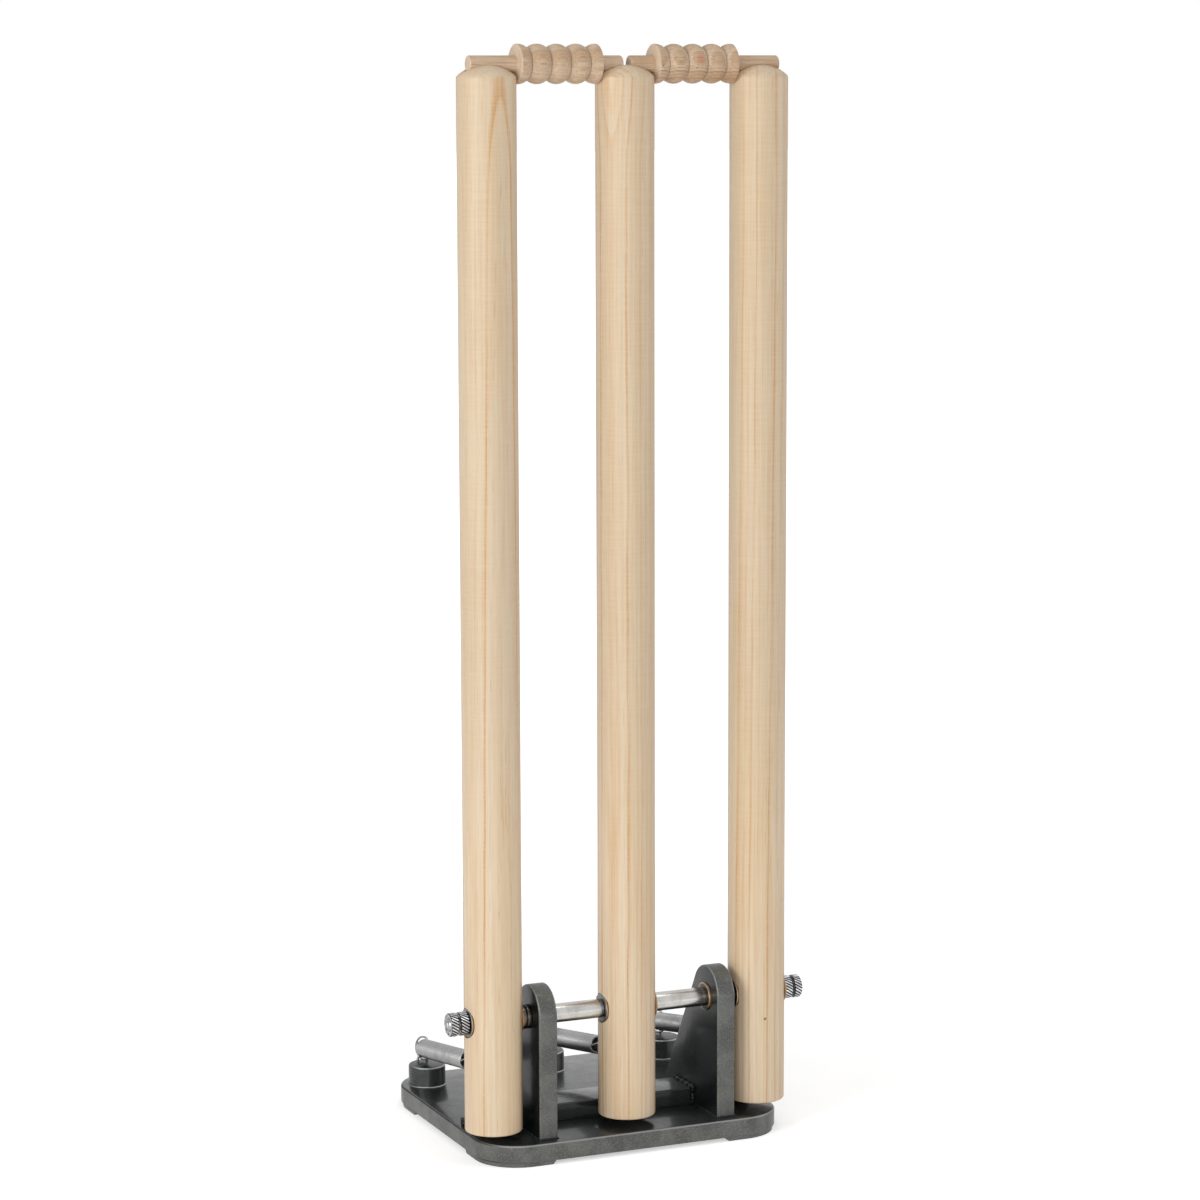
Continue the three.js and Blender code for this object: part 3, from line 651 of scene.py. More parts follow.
def metal(name):
    look, wear = metalLook[name], metalWear
    material, tree, skin = newMaterial(name + "Steel")
    coordinates = put(tree, "TexCoord").outputs
    spot = coordinates["Object"]
    reach, facing = fromAxis(tree, spot), squareness(tree, coordinates)
    marks = placeGroup(tree, surfaceMarks, {"Vector": spot, **look["marks"]})
    tone = mixColor(tree, mapRange(tree, marks["Smudge"], *wear["stainSpan"]), look["clean"], look["dull"])
    tone = mixColor(tree, mapRange(tree, marks["Line"], *wear["lineSpan"], False), tone, look["dull"])
    # bands by distance from the axis: a painted highlight at the rod's ends, painted shade in the nut's
    # knurl grooves, the upright bush's own brown rim
    if "band" in look:
        band = look["band"]
        limits = (1.0, 0.0) if band["inside"] else (0.0, 1.0)
        mask = mapRange(tree, reach, band["low"] * mm, band["high"] * mm, *limits)
        if band["sidesOnly"]:
            mask = times(tree, mask, mapRange(tree, facing, *wear["endSpan"], 1.0, 0.0))
        tone = mixColor(tree, mask, tone, band["tone"])
    # a light ring under the flange face and a brown band below it, the brown partly painted shade and wood
    # reflection
    if "collar" in look:
        collar, blur = look["collar"], wear["blur"] * mm
        radius, edgeTo, brownTo = (collar[key] * mm for key in ("radius", "edgeTo", "brownTo"))
        outside = mapRange(tree, reach, radius, radius + blur)
        height = part(tree, spot, 2)
        ridge = mapRange(tree, height, edgeTo, edgeTo - blur)
        tone = mixColor(tree, times(tree, outside, ridge), tone, collar["edge"])
        low = mapRange(tree, height, brownTo - blur, brownTo + blur, 1.0, 0.0)
        tone = mixColor(tree, times(tree, outside, low), tone, collar["tone"])
    if "mottle" in look:
        mottle = look["mottle"]
        cast = mapRange(tree, noise(tree, spot, mottle["scale"], *wear["castNoise"]), *wear["castSpan"])
        ends = mapRange(tree, facing, *wear["endSpan"], 0.0, mottle["depth"])
        tone = mixColor(tree, times(tree, cast, ends), tone, mottle["tone"])
    if "spots" in look:
        tone = spotted(tree, vectorMath(tree, "MULTIPLY", spot, (1.0, 1.0, 0.0)), tone, look, name)
    rough = roughBy(tree, marks["Line"], look["rough"])
    dress(tree, skin, tone, rough, marks["Line"], look["bump"], {"Metallic": 1.0})
    return material


paints = {kind: paint(kind) for kind in paintLook["kinds"]}
metals = {name: metal(name) for name in metalLook}
print("Materials ready")


# Mesh tools. Lengths under a hair are taken as none, and cut meshes are cleared of slivers.

hair = 1e-7
sliver = 0.002 * mm


def arc(centreX, centreY, radius, start, end, steps):
    # angles in degrees
    points = []
    for i in range(steps + 1):
        angle = math.radians(start + (end - start) * i / steps)
        points.append((centreX + radius * math.cos(angle), centreY + radius * math.sin(angle)))
    return points


def turnedMesh(name, profile, around=96, shape=None):
    # a form turned about its own Z from pairs of radius and height; shape may change each radius
    mesh = bmesh.new()
    rows = []
    closed = profile[0] == profile[-1]
    for radius, height in profile[:-1] if closed else profile:
        if radius < hair:
            rows.append([mesh.verts.new((0, 0, height))])
            continue
        row = []
        for i in range(around):
            angle = 2 * math.pi * i / around
            reach = shape(radius, height, angle) if shape else radius
            row.append(mesh.verts.new((reach * math.cos(angle), reach * math.sin(angle), height)))
        rows.append(row)
    pairs = list(zip(rows, rows[1:]))
    if closed:
        pairs.append((rows[-1], rows[0]))
    for low, high in pairs:
        for i in range(around):
            j = (i + 1) % around
            corners = [low[i % len(low)], low[j % len(low)], high[j % len(high)], high[i % len(high)]]
            corners = [corner for n, corner in enumerate(corners) if corner not in corners[:n]]
            if len(corners) > 2:
                mesh.faces.new(corners)
    return finishMesh(name, mesh)


def tubeMesh(name, points, radius, around=10, ripple=None, closed=False):
    # a round wire along a list of points; ripple may change its radius by the length so far
    mesh = bmesh.new()
    rows = []
    side = None
    count = len(points)
    length = 0.0
    for i, point in enumerate(points):
        before = points[i - 1] if i or closed else point
        after = points[(i + 1) % count] if i + 1 < count or closed else point
        ahead = (after - before).normalized()
        if side is None:
            side = ahead.orthogonal().normalized()
        side = (side - ahead * side.dot(ahead)).normalized()
        other = ahead.cross(side)
        if i:
            length += (point - points[i - 1]).length
        reach = radius * (ripple(length) if ripple else 1.0)
        row = []
        for k in range(around):
            angle = 2 * math.pi * k / around
            row.append(mesh.verts.new(point + (side * math.cos(angle) + other * math.sin(angle)) * reach))
        rows.append(row)
    for low, high in zip(rows, rows[1:]):
        for k in range(around):
            m = (k + 1) % around
            mesh.faces.new((low[k], low[m], high[m], high[k]))
    if closed:
        shift = min(range(around), key=lambda s: (rows[0][s].co - rows[-1][0].co).length)
        for k in range(around):
            m = (k + 1) % around
            ends = rows[0][(m + shift) % around], rows[0][(k + shift) % around]
            mesh.faces.new((rows[-1][k], rows[-1][m], *ends))
    else:
        mesh.faces.new(rows[0])
        mesh.faces.new(rows[-1])
    return finishMesh(name, mesh)


def plateMesh(name, outline, thickness, edge=0.0, segments=3):
    # a flat outline in X and Y raised along Z, with its two rims rounded
    mesh = bmesh.new()
    face = mesh.faces.new([mesh.verts.new((x, y, 0)) for x, y in outline])
    raised = bmesh.ops.extrude_face_region(mesh, geom=[face])
    moved = [item for item in raised["geom"] if isinstance(item, bmesh.types.BMVert)]
    bmesh.ops.translate(mesh, verts=moved, vec=(0, 0, thickness))
    mesh.normal_update()
    bmesh.ops.recalc_face_normals(mesh, faces=mesh.faces)
    if edge:
        rims = [rim for rim in mesh.edges if abs(rim.verts[0].co.z - rim.verts[1].co.z) < hair]
        bmesh.ops.bevel(mesh, geom=rims, offset=edge, segments=segments, profile=0.5, affect="EDGES")
    return finishMesh(name, mesh)


def finishMesh(name, mesh):
    bmesh.ops.recalc_face_normals(mesh, faces=mesh.faces)
    data = bpy.data.meshes.new(name)
    mesh.to_mesh(data)
    mesh.free()
    return data


def smooth(data, angle=32):
    data.polygons.foreach_set("use_smooth", [True] * len(data.polygons))
    data.set_sharp_from_angle(angle=math.radians(angle))


def newPiece(name, data, material, place, body, replaced=(), sharp=32):
    # place is a matrix, or a point in the row frame
    smooth(data, sharp)
    piece = bpy.data.objects.new(name, data)
    piece.matrix_world = place if isinstance(place, Matrix) else Matrix.Translation(place)
    piece.data.materials.append(material)
    bpy.context.collection.objects.link(piece)
    if body:
        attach(piece, body)
    if replaced:
        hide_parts(*replaced)
    return piece


def cutMesh(data, cutters, joined=False):
    # the mesh with other closed meshes cut away or joined on
    worked = bpy.data.objects.new("worked", data)
    bpy.context.collection.objects.link(worked)
    helpers = []
    for cutter in cutters:
        helper = bpy.data.objects.new("cutter", cutter)
        bpy.context.collection.objects.link(helper)
        helpers.append(helper)
        step = worked.modifiers.new("cut", "BOOLEAN")
        step.operation = "UNION" if joined else "DIFFERENCE"
        step.solver = "EXACT"
        step.object = helper
    view = bpy.context.evaluated_depsgraph_get()
    result = bpy.data.meshes.new_from_object(worked.evaluated_get(view))
    result.name = data.name
    for helper in helpers + [worked]:
        bpy.data.objects.remove(helper)
    mesh = bmesh.new()
    mesh.from_mesh(result)
    bmesh.ops.remove_doubles(mesh, verts=mesh.verts, dist=sliver)
    bmesh.ops.dissolve_degenerate(mesh, edges=mesh.edges, dist=sliver)
    mesh.to_mesh(result)
    mesh.free()
    return result


def moved(data, matrix):
    data.transform(matrix)
    return data


def box(node):
    low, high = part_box(node)
    return Vector(low), Vector(high)


def middle(node):
    low, high = box(node)
    return (low + high) / 2


def footOf(node):
    # the middle of a node's box at its lowest height
    centre = middle(node)
    return Vector((centre.x, centre.y, box(node)[0].z))


# turns that lay a piece's Z along +X, -X or the rear, and stand an outline up across X
toX = Matrix.Rotation(quarter, 4, "Y")
toLeft = Matrix.Rotation(-quarter, 4, "Y")
toRear = Matrix.Rotation(-quarter, 4, "X")
standing = toX @ Matrix.Rotation(quarter, 4, "Z")


# Stumps

stumpSizes = {
    "radius": 19.05 * mm,
    "footRound": 1.2 * mm,
    "shoulderRound": 3.2 * mm,
    "domeRadius": 27 * mm,
    "grooveRadius": 5.65 * mm,
    "boreRadius": 6.5 * mm,
    "boreSides": 60,
    "seatDepth": 2.2 * mm,
    "seatRadius": 9.9 * mm,
    "pilotRadius": 2.1 * mm,
    "pilotDepth": 11.3 * mm,
    "pilotSides": 32,
    "past": 2 * mm,
    "borePast": 1 * mm,
    "sides": 128,
    "steps": {"foot": 5, "side": 24, "shoulder": 8, "dome": 10},
}
spindleLine = middle("spindle")
eyeLine = middle("middle_screw_eye").z


def stumpProfile(length):
    size = stumpSizes
    radius, steps = size["radius"], size["steps"]
    domeCentre = length - size["domeRadius"]
    roundCentre = radius - size["shoulderRound"]
    reach = size["domeRadius"] - size["shoulderRound"]
    tilt = math.degrees(math.acos(roundCentre / reach))
    roundHeight = domeCentre + math.sqrt(reach ** 2 - roundCentre ** 2)
    foot = size["footRound"]
    profile = [(0, 0), (radius - foot, 0)]
    profile += arc(radius - foot, foot, foot, -90, 0, steps["foot"])[1:]
    start = profile[-1][1]
    rise = roundHeight - start
    profile += [(radius, start + rise * i / steps["side"]) for i in range(1, steps["side"])]
    profile += arc(roundCentre, roundHeight, size["shoulderRound"], 0, tilt, steps["shoulder"])
    profile += arc(0, domeCentre, size["domeRadius"], tilt, 90, steps["dome"])[1:-1]
    profile.append((0, length))
    return profile


def rod(radius, start, end, around=64):
    return turnedMesh("rod", [(0, start), (radius, start), (radius, end), (0, end)], around)


def makeStump(side):
    size = stumpSizes
    node = side + "_stump"
    place = footOf(node)
    length = stumpTop - place.z
    data = turnedMesh(node, stumpProfile(length), size["sides"])
    over = size["radius"] + size["past"]
    boreOver = over + size["borePast"]
    seat = size["radius"] - size["seatDepth"]
    atPivot = Matrix.Translation((0, 0, spindleLine.z - place.z))
    atTop = Matrix.Translation((0, 0, length))
    back = Matrix.Translation((0, size["radius"], eyeLine - place.z)) @ toRear
    cutters = [
        moved(rod(size["grooveRadius"], -over, over), atTop @ toX),
        moved(rod(size["seatRadius"], -over, -seat), atPivot @ toX),
        moved(rod(size["seatRadius"], seat, over), atPivot @ toX),
        moved(rod(size["boreRadius"], -boreOver, boreOver, size["boreSides"]), atPivot @ toX),
        moved(rod(size["pilotRadius"], -size["pilotDepth"], size["past"], size["pilotSides"]), back),
    ]
    newPiece(side + "Stump", cutMesh(data, cutters), ash(side), place, node, [node], 30)


bailLine = middle("left_bail")
stumpTop = bailLine.z
for side in sides:
    makeStump(side)
print("Stumps turned")


# Bails

bailSizes = {
    "spigot": 5.35 * mm,
    "longSpigot": 31.9 * mm,
    "longRows": (0.3, 0.6, 0.95),
    "shortSpigot": 16.5 * mm,
    "shortRows": (0.1, 0.5),
    "barrel": 56.6 * mm,
    "barrelRadius": 12.7 * mm,
    "beads": 5,
    "endBead": 1.5 * mm,
    "beadDepth": 2.8 * mm,
    "grooveDepth": 1.0 * mm,
    "grooveHalf": 0.2 * mm,
    "beadGap": 1.5,
    "beadSteps": 14,
    "edgeRound": 0.8 * mm,
    "faceSteps": ((1.6, 0.15 * mm), (0.9, 0.25 * mm)),
    "flare": 0.4 * mm,
    "tipRound": 0.9 * mm,
    "sides": 96,
}


def bailProfile():
    size = bailSizes
    spigot, barrel = size["spigot"], size["barrelRadius"]
    start = size["longSpigot"]
    end = start + size["barrel"]
    total = end + size["shortSpigot"]
    tip, edge = size["tipRound"], size["edgeRound"]
    pitch = (size["barrel"] - 2 * size["endBead"]) / (size["beads"] - 1)
    depth = size["beadDepth"]
    bead = ((pitch / 2) ** 2 + depth ** 2) / (2 * depth)
    spread = math.degrees(math.asin(pitch / 2 / bead))
    short = math.degrees(math.asin((size["endBead"] - edge) / bead))
    face = [(barrel - edge * share, inward) for share, inward in size["faceSteps"]]
    profile = [(0, 0)] + arc(spigot - tip, tip, tip, -90, 0, 5)
    profile += [(spigot, start * share) for share in size["longRows"]] + [(spigot + size["flare"], start)]
    profile += [(reach, start + inward) for reach, inward in face]
    for n in range(size["beads"]):
        centre = start + size["endBead"] + n * pitch
        first = -short if n == 0 else size["beadGap"] - spread
        last = short if n == size["beads"] - 1 else spread - size["beadGap"]
        profile += arc(barrel - bead, centre, bead, first, last, size["beadSteps"])
        if n < size["beads"] - 1:
            groove, rim, half = centre + pitch / 2, barrel - depth, size["grooveHalf"]
            profile += [(rim, groove - half), (rim - size["grooveDepth"], groove), (rim, groove + half)]
    profile += [(reach, end - inward) for reach, inward in reversed(face)] + [(spigot + size["flare"], end)]
    profile += [(spigot, end + (total - end) * share) for share in size["shortRows"]]
    profile += arc(spigot - tip, total - tip, tip, 0, 90, 5) + [(0, total)]
    return profile


def makeBail(side):
    node = side + "_bail"
    low, high = box(node)
    end, turn = (low.x, toX) if side == "left" else (high.x, toLeft)
    place = Matrix.Translation((end, middle(node).y, bailLine.z)) @ turn
    data = turnedMesh(node, bailProfile(), bailSizes["sides"])
    newPiece(side + "Bail", data, beech(side), place, node, [node], 28)


for side in outerSides:
    makeBail(side)
print("Bails turned")


# Base plate, uprights and stop bars

baseSizes = {
    "corner": 31 * mm,
    "padHeight": 2.6 * mm,
    "padWidth": 43 * mm,
    "padLength": 46 * mm,
    "padRound": 6 * mm,
    "padSlope": 2.2 * mm,
    "edge": 1.4 * mm,
    "uprightEdge": 1.3 * mm,
    "uprightThickness": 13 * mm,
    "uprightRadius": 19.2 * mm,
    "uprightHeadRise": 1.8 * mm,
    "uprightReach": 70 * mm,
    "barEdge": 1.2 * mm,
}


def roundedOutline(width, depth, radius, steps=20):
    x, y = width / 2 - radius, depth / 2 - radius
    points = []
    for cornerX, cornerY, start in ((x, y, 0), (-x, y, 90), (-x, -y, 180), (x, -y, 270)):
        points += arc(cornerX, cornerY, radius, start, start + 90, steps)
    return points


def padMesh(signX, signY, width, depth):
    # one pad under the plate, as rows at the floor, at the plate and well inside it
    size = baseSizes
    rows = []
    outerX, outerY = width / 2 - size["edge"], depth / 2 - size["edge"]
    corner, padRound, slope = size["corner"] - size["edge"], size["padRound"], size["padSlope"]
    for grow, rise in ((0.0, 0), (slope, 1), (slope, 3)):
        innerX = outerX - size["padWidth"] - grow
        innerY = outerY - size["padLength"] - grow
        points = arc(outerX - corner, outerY - corner, corner, 0, 90, 16) + [(innerX, outerY)]
        points += arc(innerX + padRound, innerY + padRound, padRound, 180, 270, 8) + [(outerX, innerY)]
        rows.append([(x * signX, y * signY, size["padHeight"] * rise) for x, y in points])
    mesh = bmesh.new()
    rings = [[mesh.verts.new(point) for point in row] for row in rows]
    count = len(rings[0])
    for low, high in zip(rings, rings[1:]):
        for i in range(count):
            j = (i + 1) % count
            mesh.faces.new((low[i], low[j], high[j], high[i]))
    mesh.faces.new(rings[0])
    mesh.faces.new(rings[-1])
    return finishMesh("pad", mesh)


def makeBase():
    size = baseSizes
    node = "base_plate"
    low, high = box(node)
    width, depth = high.x - low.x, high.y - low.y
    thickness = high.z - low.z - size["padHeight"]
    plate = plateMesh("basePlate", roundedOutline(width, depth, size["corner"]), thickness, size["edge"], 4)
    moved(plate, Matrix.Translation((0, 0, size["padHeight"])))
    pads = [padMesh(signX, signY, width, depth) for signX in (1, -1) for signY in (1, -1)]
    plate = cutMesh(plate, pads, True)
    newPiece("basePlate", plate, paints["cast"], footOf(node), "base", [node], 30)


def uprightOutline(rise):
    size = baseSizes
    radius, reach, head = size["uprightRadius"], size["uprightReach"], size["uprightHeadRise"]
    drop = rise + head
    span = math.hypot(reach, drop)
    slope = math.degrees(math.atan2(-drop, reach) + math.acos(radius / span))
    return [(-radius, -rise), (reach, -rise)] + arc(0, head, radius, slope, 180, 40)


def makeUpright(side):
    size = baseSizes
    node = side + "_upright"
    low = box(node)[0]
    outline = uprightOutline(spindleLine.z - low.z)
    data = plateMesh(node, outline, size["uprightThickness"], size["uprightEdge"], 4)
    place = Matrix.Translation((low.x, spindleLine.y, spindleLine.z)) @ standing
    newPiece(side + "Upright", data, paints["upright"], place, "base", [node], 30)


def gathered(name, parts):
    # several closed meshes in one
    mesh = bmesh.new()
    for data in parts:
        mesh.from_mesh(data)
    return finishMesh(name, mesh)


weldSizes = {
    "bead": 2.0 * mm,
    "foot": 0.8 * mm,
    "lump": 2.6 * mm,
    "depth": 0.35,
    "footDepth": 0.15,
    "slowPitch": 2.3,
    "slowShift": 7,
    "step": 0.3 * mm,
    "sides": 12,
    "topIn": 0.3 * mm,
    "footIn": 0.6 * mm,
    "curl": 2.2 * mm,
    "end": 2.3 * mm,
    "endOut": 1.9 * mm,
    "endDepth": 0.2,
    "endPath": ((2, 0.3), (0.4, 0.6), (0.4, 2.2)),
    "barRise": 0.4,
    "uprightRise": 0.3,
    "seeds": {"top": 0.3, "inner": 0.8, "end": 2.3, "front": 1.7, "left": 0.5, "right": 1.1},
}


def weldRun(corners, radius, seed, depth):
    # a run of overlapping puddles through corners given as places
    size = weldSizes

    def ripple(length):
        turn = (length / size["lump"] + seed) % 1.0
        slow = math.sin(length / size["lump"] * size["slowPitch"] + seed * size["slowShift"])
        return 1.0 - depth * (1 - math.sqrt(1 - (2 * turn - 1) ** 2)) + depth * 0.5 * slow

    corners = [Vector(corner) for corner in corners]
    points = []
    for a, b in zip(corners, corners[1:]):
        steps = max(2, int((b - a).length / size["step"]))
        points += [a.lerp(b, i / steps) for i in range(steps)]
    return tubeMesh("weld", points + corners[-1:], radius, size["sides"], ripple)


def makeStopBar(side):
    size = baseSizes
    node = side + "_stop_bar"
    low, high = box(node)
    edge = size["barEdge"]
    depth, height = high.y - low.y, high.z - low.z
    outline = [(0, 0), (depth, 0)] + arc(depth - edge, height - edge, edge, 0, 90, 4)
    outline += arc(edge, height - edge, edge, 90, 180, 4)
    data = plateMesh(node, outline, high.x - low.x)
    place = Matrix.Translation(low) @ standing
    newPiece(side + "StopBar", data, paints["bar"], place, "base", [node], 30)


def makeWelds(side):
    # beads where the bar meets the uprights, and a thin one along its foot
    size = weldSizes
    low, high = box(side + "_stop_bar")
    bead, foot, lump, depth = size["bead"], size["foot"], size["end"], size["depth"]
    front, back, top, floor = low.y, high.y, high.z, low.z
    seeds = size["seeds"]
    runs = []
    for n, (end, inward) in enumerate(((low.x, 1), (high.x, -1))):
        if side == "middle" or (side == "left") == (n == 1):
            x = end + inward * size["topIn"]
            corners = (x, back - bead, top), (x, front, top), (x, front, floor + bead)
            runs.append(weldRun(corners, bead, seeds["top"] + n, depth))
        else:
            x, z = end + inward * size["footIn"], floor + foot
            corners = (x, back, z), (x, front, z), (x, front - size["curl"], z)
            runs.append(weldRun(corners, bead, seeds["inner"] + n, depth))
            x = end - inward * size["endOut"]
            corners = [(x, back - lump * out, floor + lump * up) for out, up in size["endPath"]]
            runs.append(weldRun(corners, lump, seeds["end"], size["endDepth"]))
    z = floor + foot * size["barRise"]
    corners = (low.x + bead, front, z), (high.x - bead, front, z)
    runs.append(weldRun(corners, foot, seeds["front"], size["footDepth"]))
    data = gathered(side + "_welds", runs)
    newPiece(side + "Welds", data, paints["weld"], zero, "base", (), 50)


def makeFootWeld(side):
    # a thin bead round the foot of an upright
    size = weldSizes
    low, high = box(side + "_upright")
    foot = size["foot"]
    back, z = high.y - foot, low.z + foot * size["uprightRise"]
    corners = (low.x, back, z), (low.x, low.y, z), (high.x, low.y, z), (high.x, back, z)
    data = weldRun(corners, foot, size["seeds"][side], size["footDepth"])
    newPiece(side + "FootWeld", data, paints["weld"], zero, "base", (), 50)


makeBase()
for side in outerSides:
    makeUpright(side)
    makeFootWeld(side)
for side in sides:
    makeStopBar(side)
    makeWelds(side)
print("Base plate, uprights and stop bars made")


# Spring posts and their staples

postSizes = {
    "radius": 12.7 * mm,
    "edge": 1.3 * mm,
    "fillet": 0.9 * mm,
    "staple": 0.9 * mm,
    "stapleHalf": 3.3 * mm,
    "stapleRows": 4,
}


def makePost(side):
    size = postSizes
    node = side + "_spring_post"
    low, high = box(node)
    height = high.z - low.z
    radius, edge, fillet = size["radius"], size["edge"], size["fillet"]
    profile = [(0, 0), (radius + fillet, 0)]
    profile += arc(radius + fillet, fillet, fillet, 270, 180, 5)[1:]
    profile += arc(radius - edge, height - edge, edge, 0, 90, 6) + [(0, height)]
    data = turnedMesh(node, profile)
    newPiece(side + "SpringPost", data, paints["post"], footOf(node), "base", [node], 30)


def makeStaple(side):
    size = postSizes
    node = side + "_post_staple"
    low, high = box(node)
    half, rows = size["stapleHalf"], size["stapleRows"]
    rise = high.z - low.z - size["staple"] - half
    leg = [rise * i / rows for i in range(rows)]
    points = [Vector((-half, 0, z)) for z in leg]
    points += [Vector((x, 0, rise + z)) for x, z in arc(0, 0, half, 180, 0, 24)]
    points += [Vector((half, 0, z)) for z in reversed(leg)]
    data = tubeMesh(node, points, size["staple"], 14)
    newPiece(side + "PostStaple", data, metals["wire"], footOf(node), "base", [node], 40)


for side in sides:
    makePost(side)
    makeStaple(side)
print("Spring posts made")


# Screw eyes

eyeSizes = {
    "ring": 4.2 * mm,
    "wire": 1.2 * mm,
    "shank": 1.8 * mm,
    "collar": 3.5 * mm,
    "collarThickness": 1.6 * mm,
    "reach": 36.7 * mm,
    "depth": 11 * mm,
    "point": 1.5 * mm,
    "ease": 0.4 * mm,
    "gap": 0.3 * mm,
    "stemSides": 32,
    "ringSteps": 47,
    "ringSides": 16,
}


def makeEye(side):
    size = eyeSizes
    node = side + "_screw_eye"
    centre = middle(node)
    stump = stumpSizes["radius"]
    collar = stump + size["gap"]
    ringCentre = size["reach"] - size["ring"]
    start, face, end = stump - size["depth"], collar + size["collarThickness"], ringCentre - size["ring"]
    shank, rim, wire, ease = size["shank"], size["collar"], size["wire"], size["ease"]
    profile = [(0, start), (shank, start + size["point"]), (shank, collar), (rim - ease, collar)]
    profile += [(rim, collar + ease), (rim, face - ease), (rim - ease, face), (wire + ease, face)]
    profile += [(wire, face + ease), (wire, end), (0, end)]
    stem = moved(turnedMesh(node, profile, size["stemSides"]), toRear)
    loop = [Vector((x, y, 0)) for x, y in arc(0, ringCentre, size["ring"], -90, 270, size["ringSteps"])[:-1]]
    ring = tubeMesh("ring", loop, wire, size["ringSides"], None, True)
    data = cutMesh(stem, [ring], True)
    place = (centre.x, spindleLine.y, centre.z)
    newPiece(side + "ScrewEye", data, metals["bright"], place, side + "_stump", [node], 40)


for side in sides:
    makeEye(side)
print("Screw eyes made")


# Spindle, bushes, tubes, washers and nuts

spindleSizes = {
    "radius": 4.0 * mm,
    "threadLength": 15 * mm,
    "threadPitch": 1.25 * mm,
    "threadDepth": 0.35 * mm,
    "threadRows": 96,
    "tip": 0.8 * mm,
    "sides": 48,
}


def makeSpindle():
    size = spindleSizes
    low, high = box("spindle")
    half = (high.x - low.x) / 2
    radius, pitch, depth = size["radius"], size["threadPitch"], size["threadDepth"]

    def thread(reach, height, angle):
        if reach < radius - hair or abs(height) < half - size["threadLength"]:
            return reach
        turn = (height / pitch - angle / (2 * math.pi)) % 1.0
        return reach - depth * abs(2 * turn - 1)

    rows = size["threadRows"]
    start = half - size["tip"]
    step = size["threadLength"] / rows
    heights = [start - step * i for i in range(rows)]
    profile = [(0, -half), (radius - size["tip"], -half)] + [(radius, -height) for height in heights]
    profile += [(radius, height) for height in reversed(heights)] + [(radius - size["tip"], half), (0, half)]
    data = turnedMesh("spindle", profile, size["sides"], thread)
    place = Matrix.Translation(spindleLine) @ toX
    newPiece("spindleRod", data, metals["rod"], place, "base", ["spindle"], 50)


makeSpindle()

fittingSizes = {
    "bore": 4.1 * mm,
    "bushSleeve": 6.2 * mm,
    "bushFlange": 9.6 * mm,
    "bushStart": 4.85 * mm,
    "bushSeat": 16.85 * mm,
    "bushFace": 18.55 * mm,
    "uprightFlange": 9.4 * mm,
    "uprightFlangeThickness": 1.4 * mm,
    "tube": {"bore": 4.6 * mm, "radius": 6.25 * mm, "edge": 0.3 * mm},
    "washer": {"bore": 4.1 * mm, "radius": 8 * mm, "edge": 0.5 * mm},
    "edge": 0.35 * mm,
    "sides": 64,
}


def onSpindle(x, toRight):
    # a turned piece's place on the spindle, its foot at x and its head to the right or the left
    return Matrix.Translation((x, spindleLine.y, spindleLine.z)) @ (toX if toRight else toLeft)


def roundedRing(bore, radius, length, edge):
    profile = [(bore, 0)] + arc(radius - edge, edge, edge, -90, 0, 3)
    profile += arc(radius - edge, length - edge, edge, 0, 90, 3) + [(bore, length), (bore, 0)]
    return profile


def makeStumpBush(side, end):
    size = fittingSizes
    node = f"{side}_stump_{end}_bush"
    edge = size["edge"]
    flange, sleeve = size["bushFlange"], size["bushSleeve"]
    bore, start, seat, face = size["bore"], size["bushStart"], size["bushSeat"], size["bushFace"]
    profile = [(bore, start), (sleeve, start), (sleeve, seat)]
    profile += arc(flange - edge, seat + edge, edge, -90, 0, 3)
    profile += arc(flange - edge, face - edge, edge, 0, 90, 3)
    profile += [(bore + edge, face), (bore, face - edge), (bore, start)]
    data = turnedMesh(node, profile, size["sides"])
    place = onSpindle(middle(side + "_stump").x, end == "right")
    name = side + "Stump" + end.capitalize() + "Bush"
    newPiece(name, data, metals["stumpBush"], place, side + "_stump", [node])


def makeUprightBush(side):
    size = fittingSizes
    node = side + "_upright_bush"
    low, high = box(node)
    edge = size["edge"]
    flange, sleeve, lip = size["uprightFlange"], size["bushSleeve"], size["uprightFlangeThickness"]
    bore, through = size["bore"], baseSizes["uprightThickness"]
    profile = [(bore, -lip + edge), (bore + edge, -lip)] + arc(flange - edge, -lip + edge, edge, -90, 0, 3)
    profile += [(flange, 0), (sleeve, 0), (sleeve, through), (bore, through), (bore, -lip + edge)]
    place = onSpindle(low.x + lip if side == "right" else high.x - lip, side == "right")
    data = turnedMesh(node, profile, size["sides"])
    newPiece(side + "UprightBush", data, metals["uprightBush"], place, "base", [node])


def makeRing(node, name, size, material):
    low, high = box(node)
    profile = roundedRing(size["bore"], size["radius"], high.x - low.x, size["edge"])
    data = turnedMesh(node, profile, fittingSizes["sides"])
    newPiece(name, data, material, onSpindle(low.x, True), "base", [node])


for side in sides:
    for end in outerSides:
        makeStumpBush(side, end)
for side in outerSides:
    makeUprightBush(side)
    makeRing(side + "_spacer_tube", side + "SpacerTube", fittingSizes["tube"], metals["bright"])
    for n in (1, 2):
        makeRing(f"{side}_washer_{n}", f"{side}Washer{n}", fittingSizes["washer"], metals["washer"])


nutSizes = {
    "radius": 7.85 * mm,
    "teeth": 22,
    "depth": 0.6 * mm,
    "lead": 70 * mm,
    "edge": 0.6 * mm,
    "dish": 0.35 * mm,
    "ease": 0.3 * mm,
    "innerRim": 0.4 * mm,
    "dishRim": 0.5 * mm,
    "rimInner": 1.3 * mm,
    "rimOuter": 0.9 * mm,
    "shoulder": (0.4, 0.5),
    "dishShare": 0.6,
    "knurlFrom": 0.98,
    "rows": 14,
    "toothSteps": 8,
}


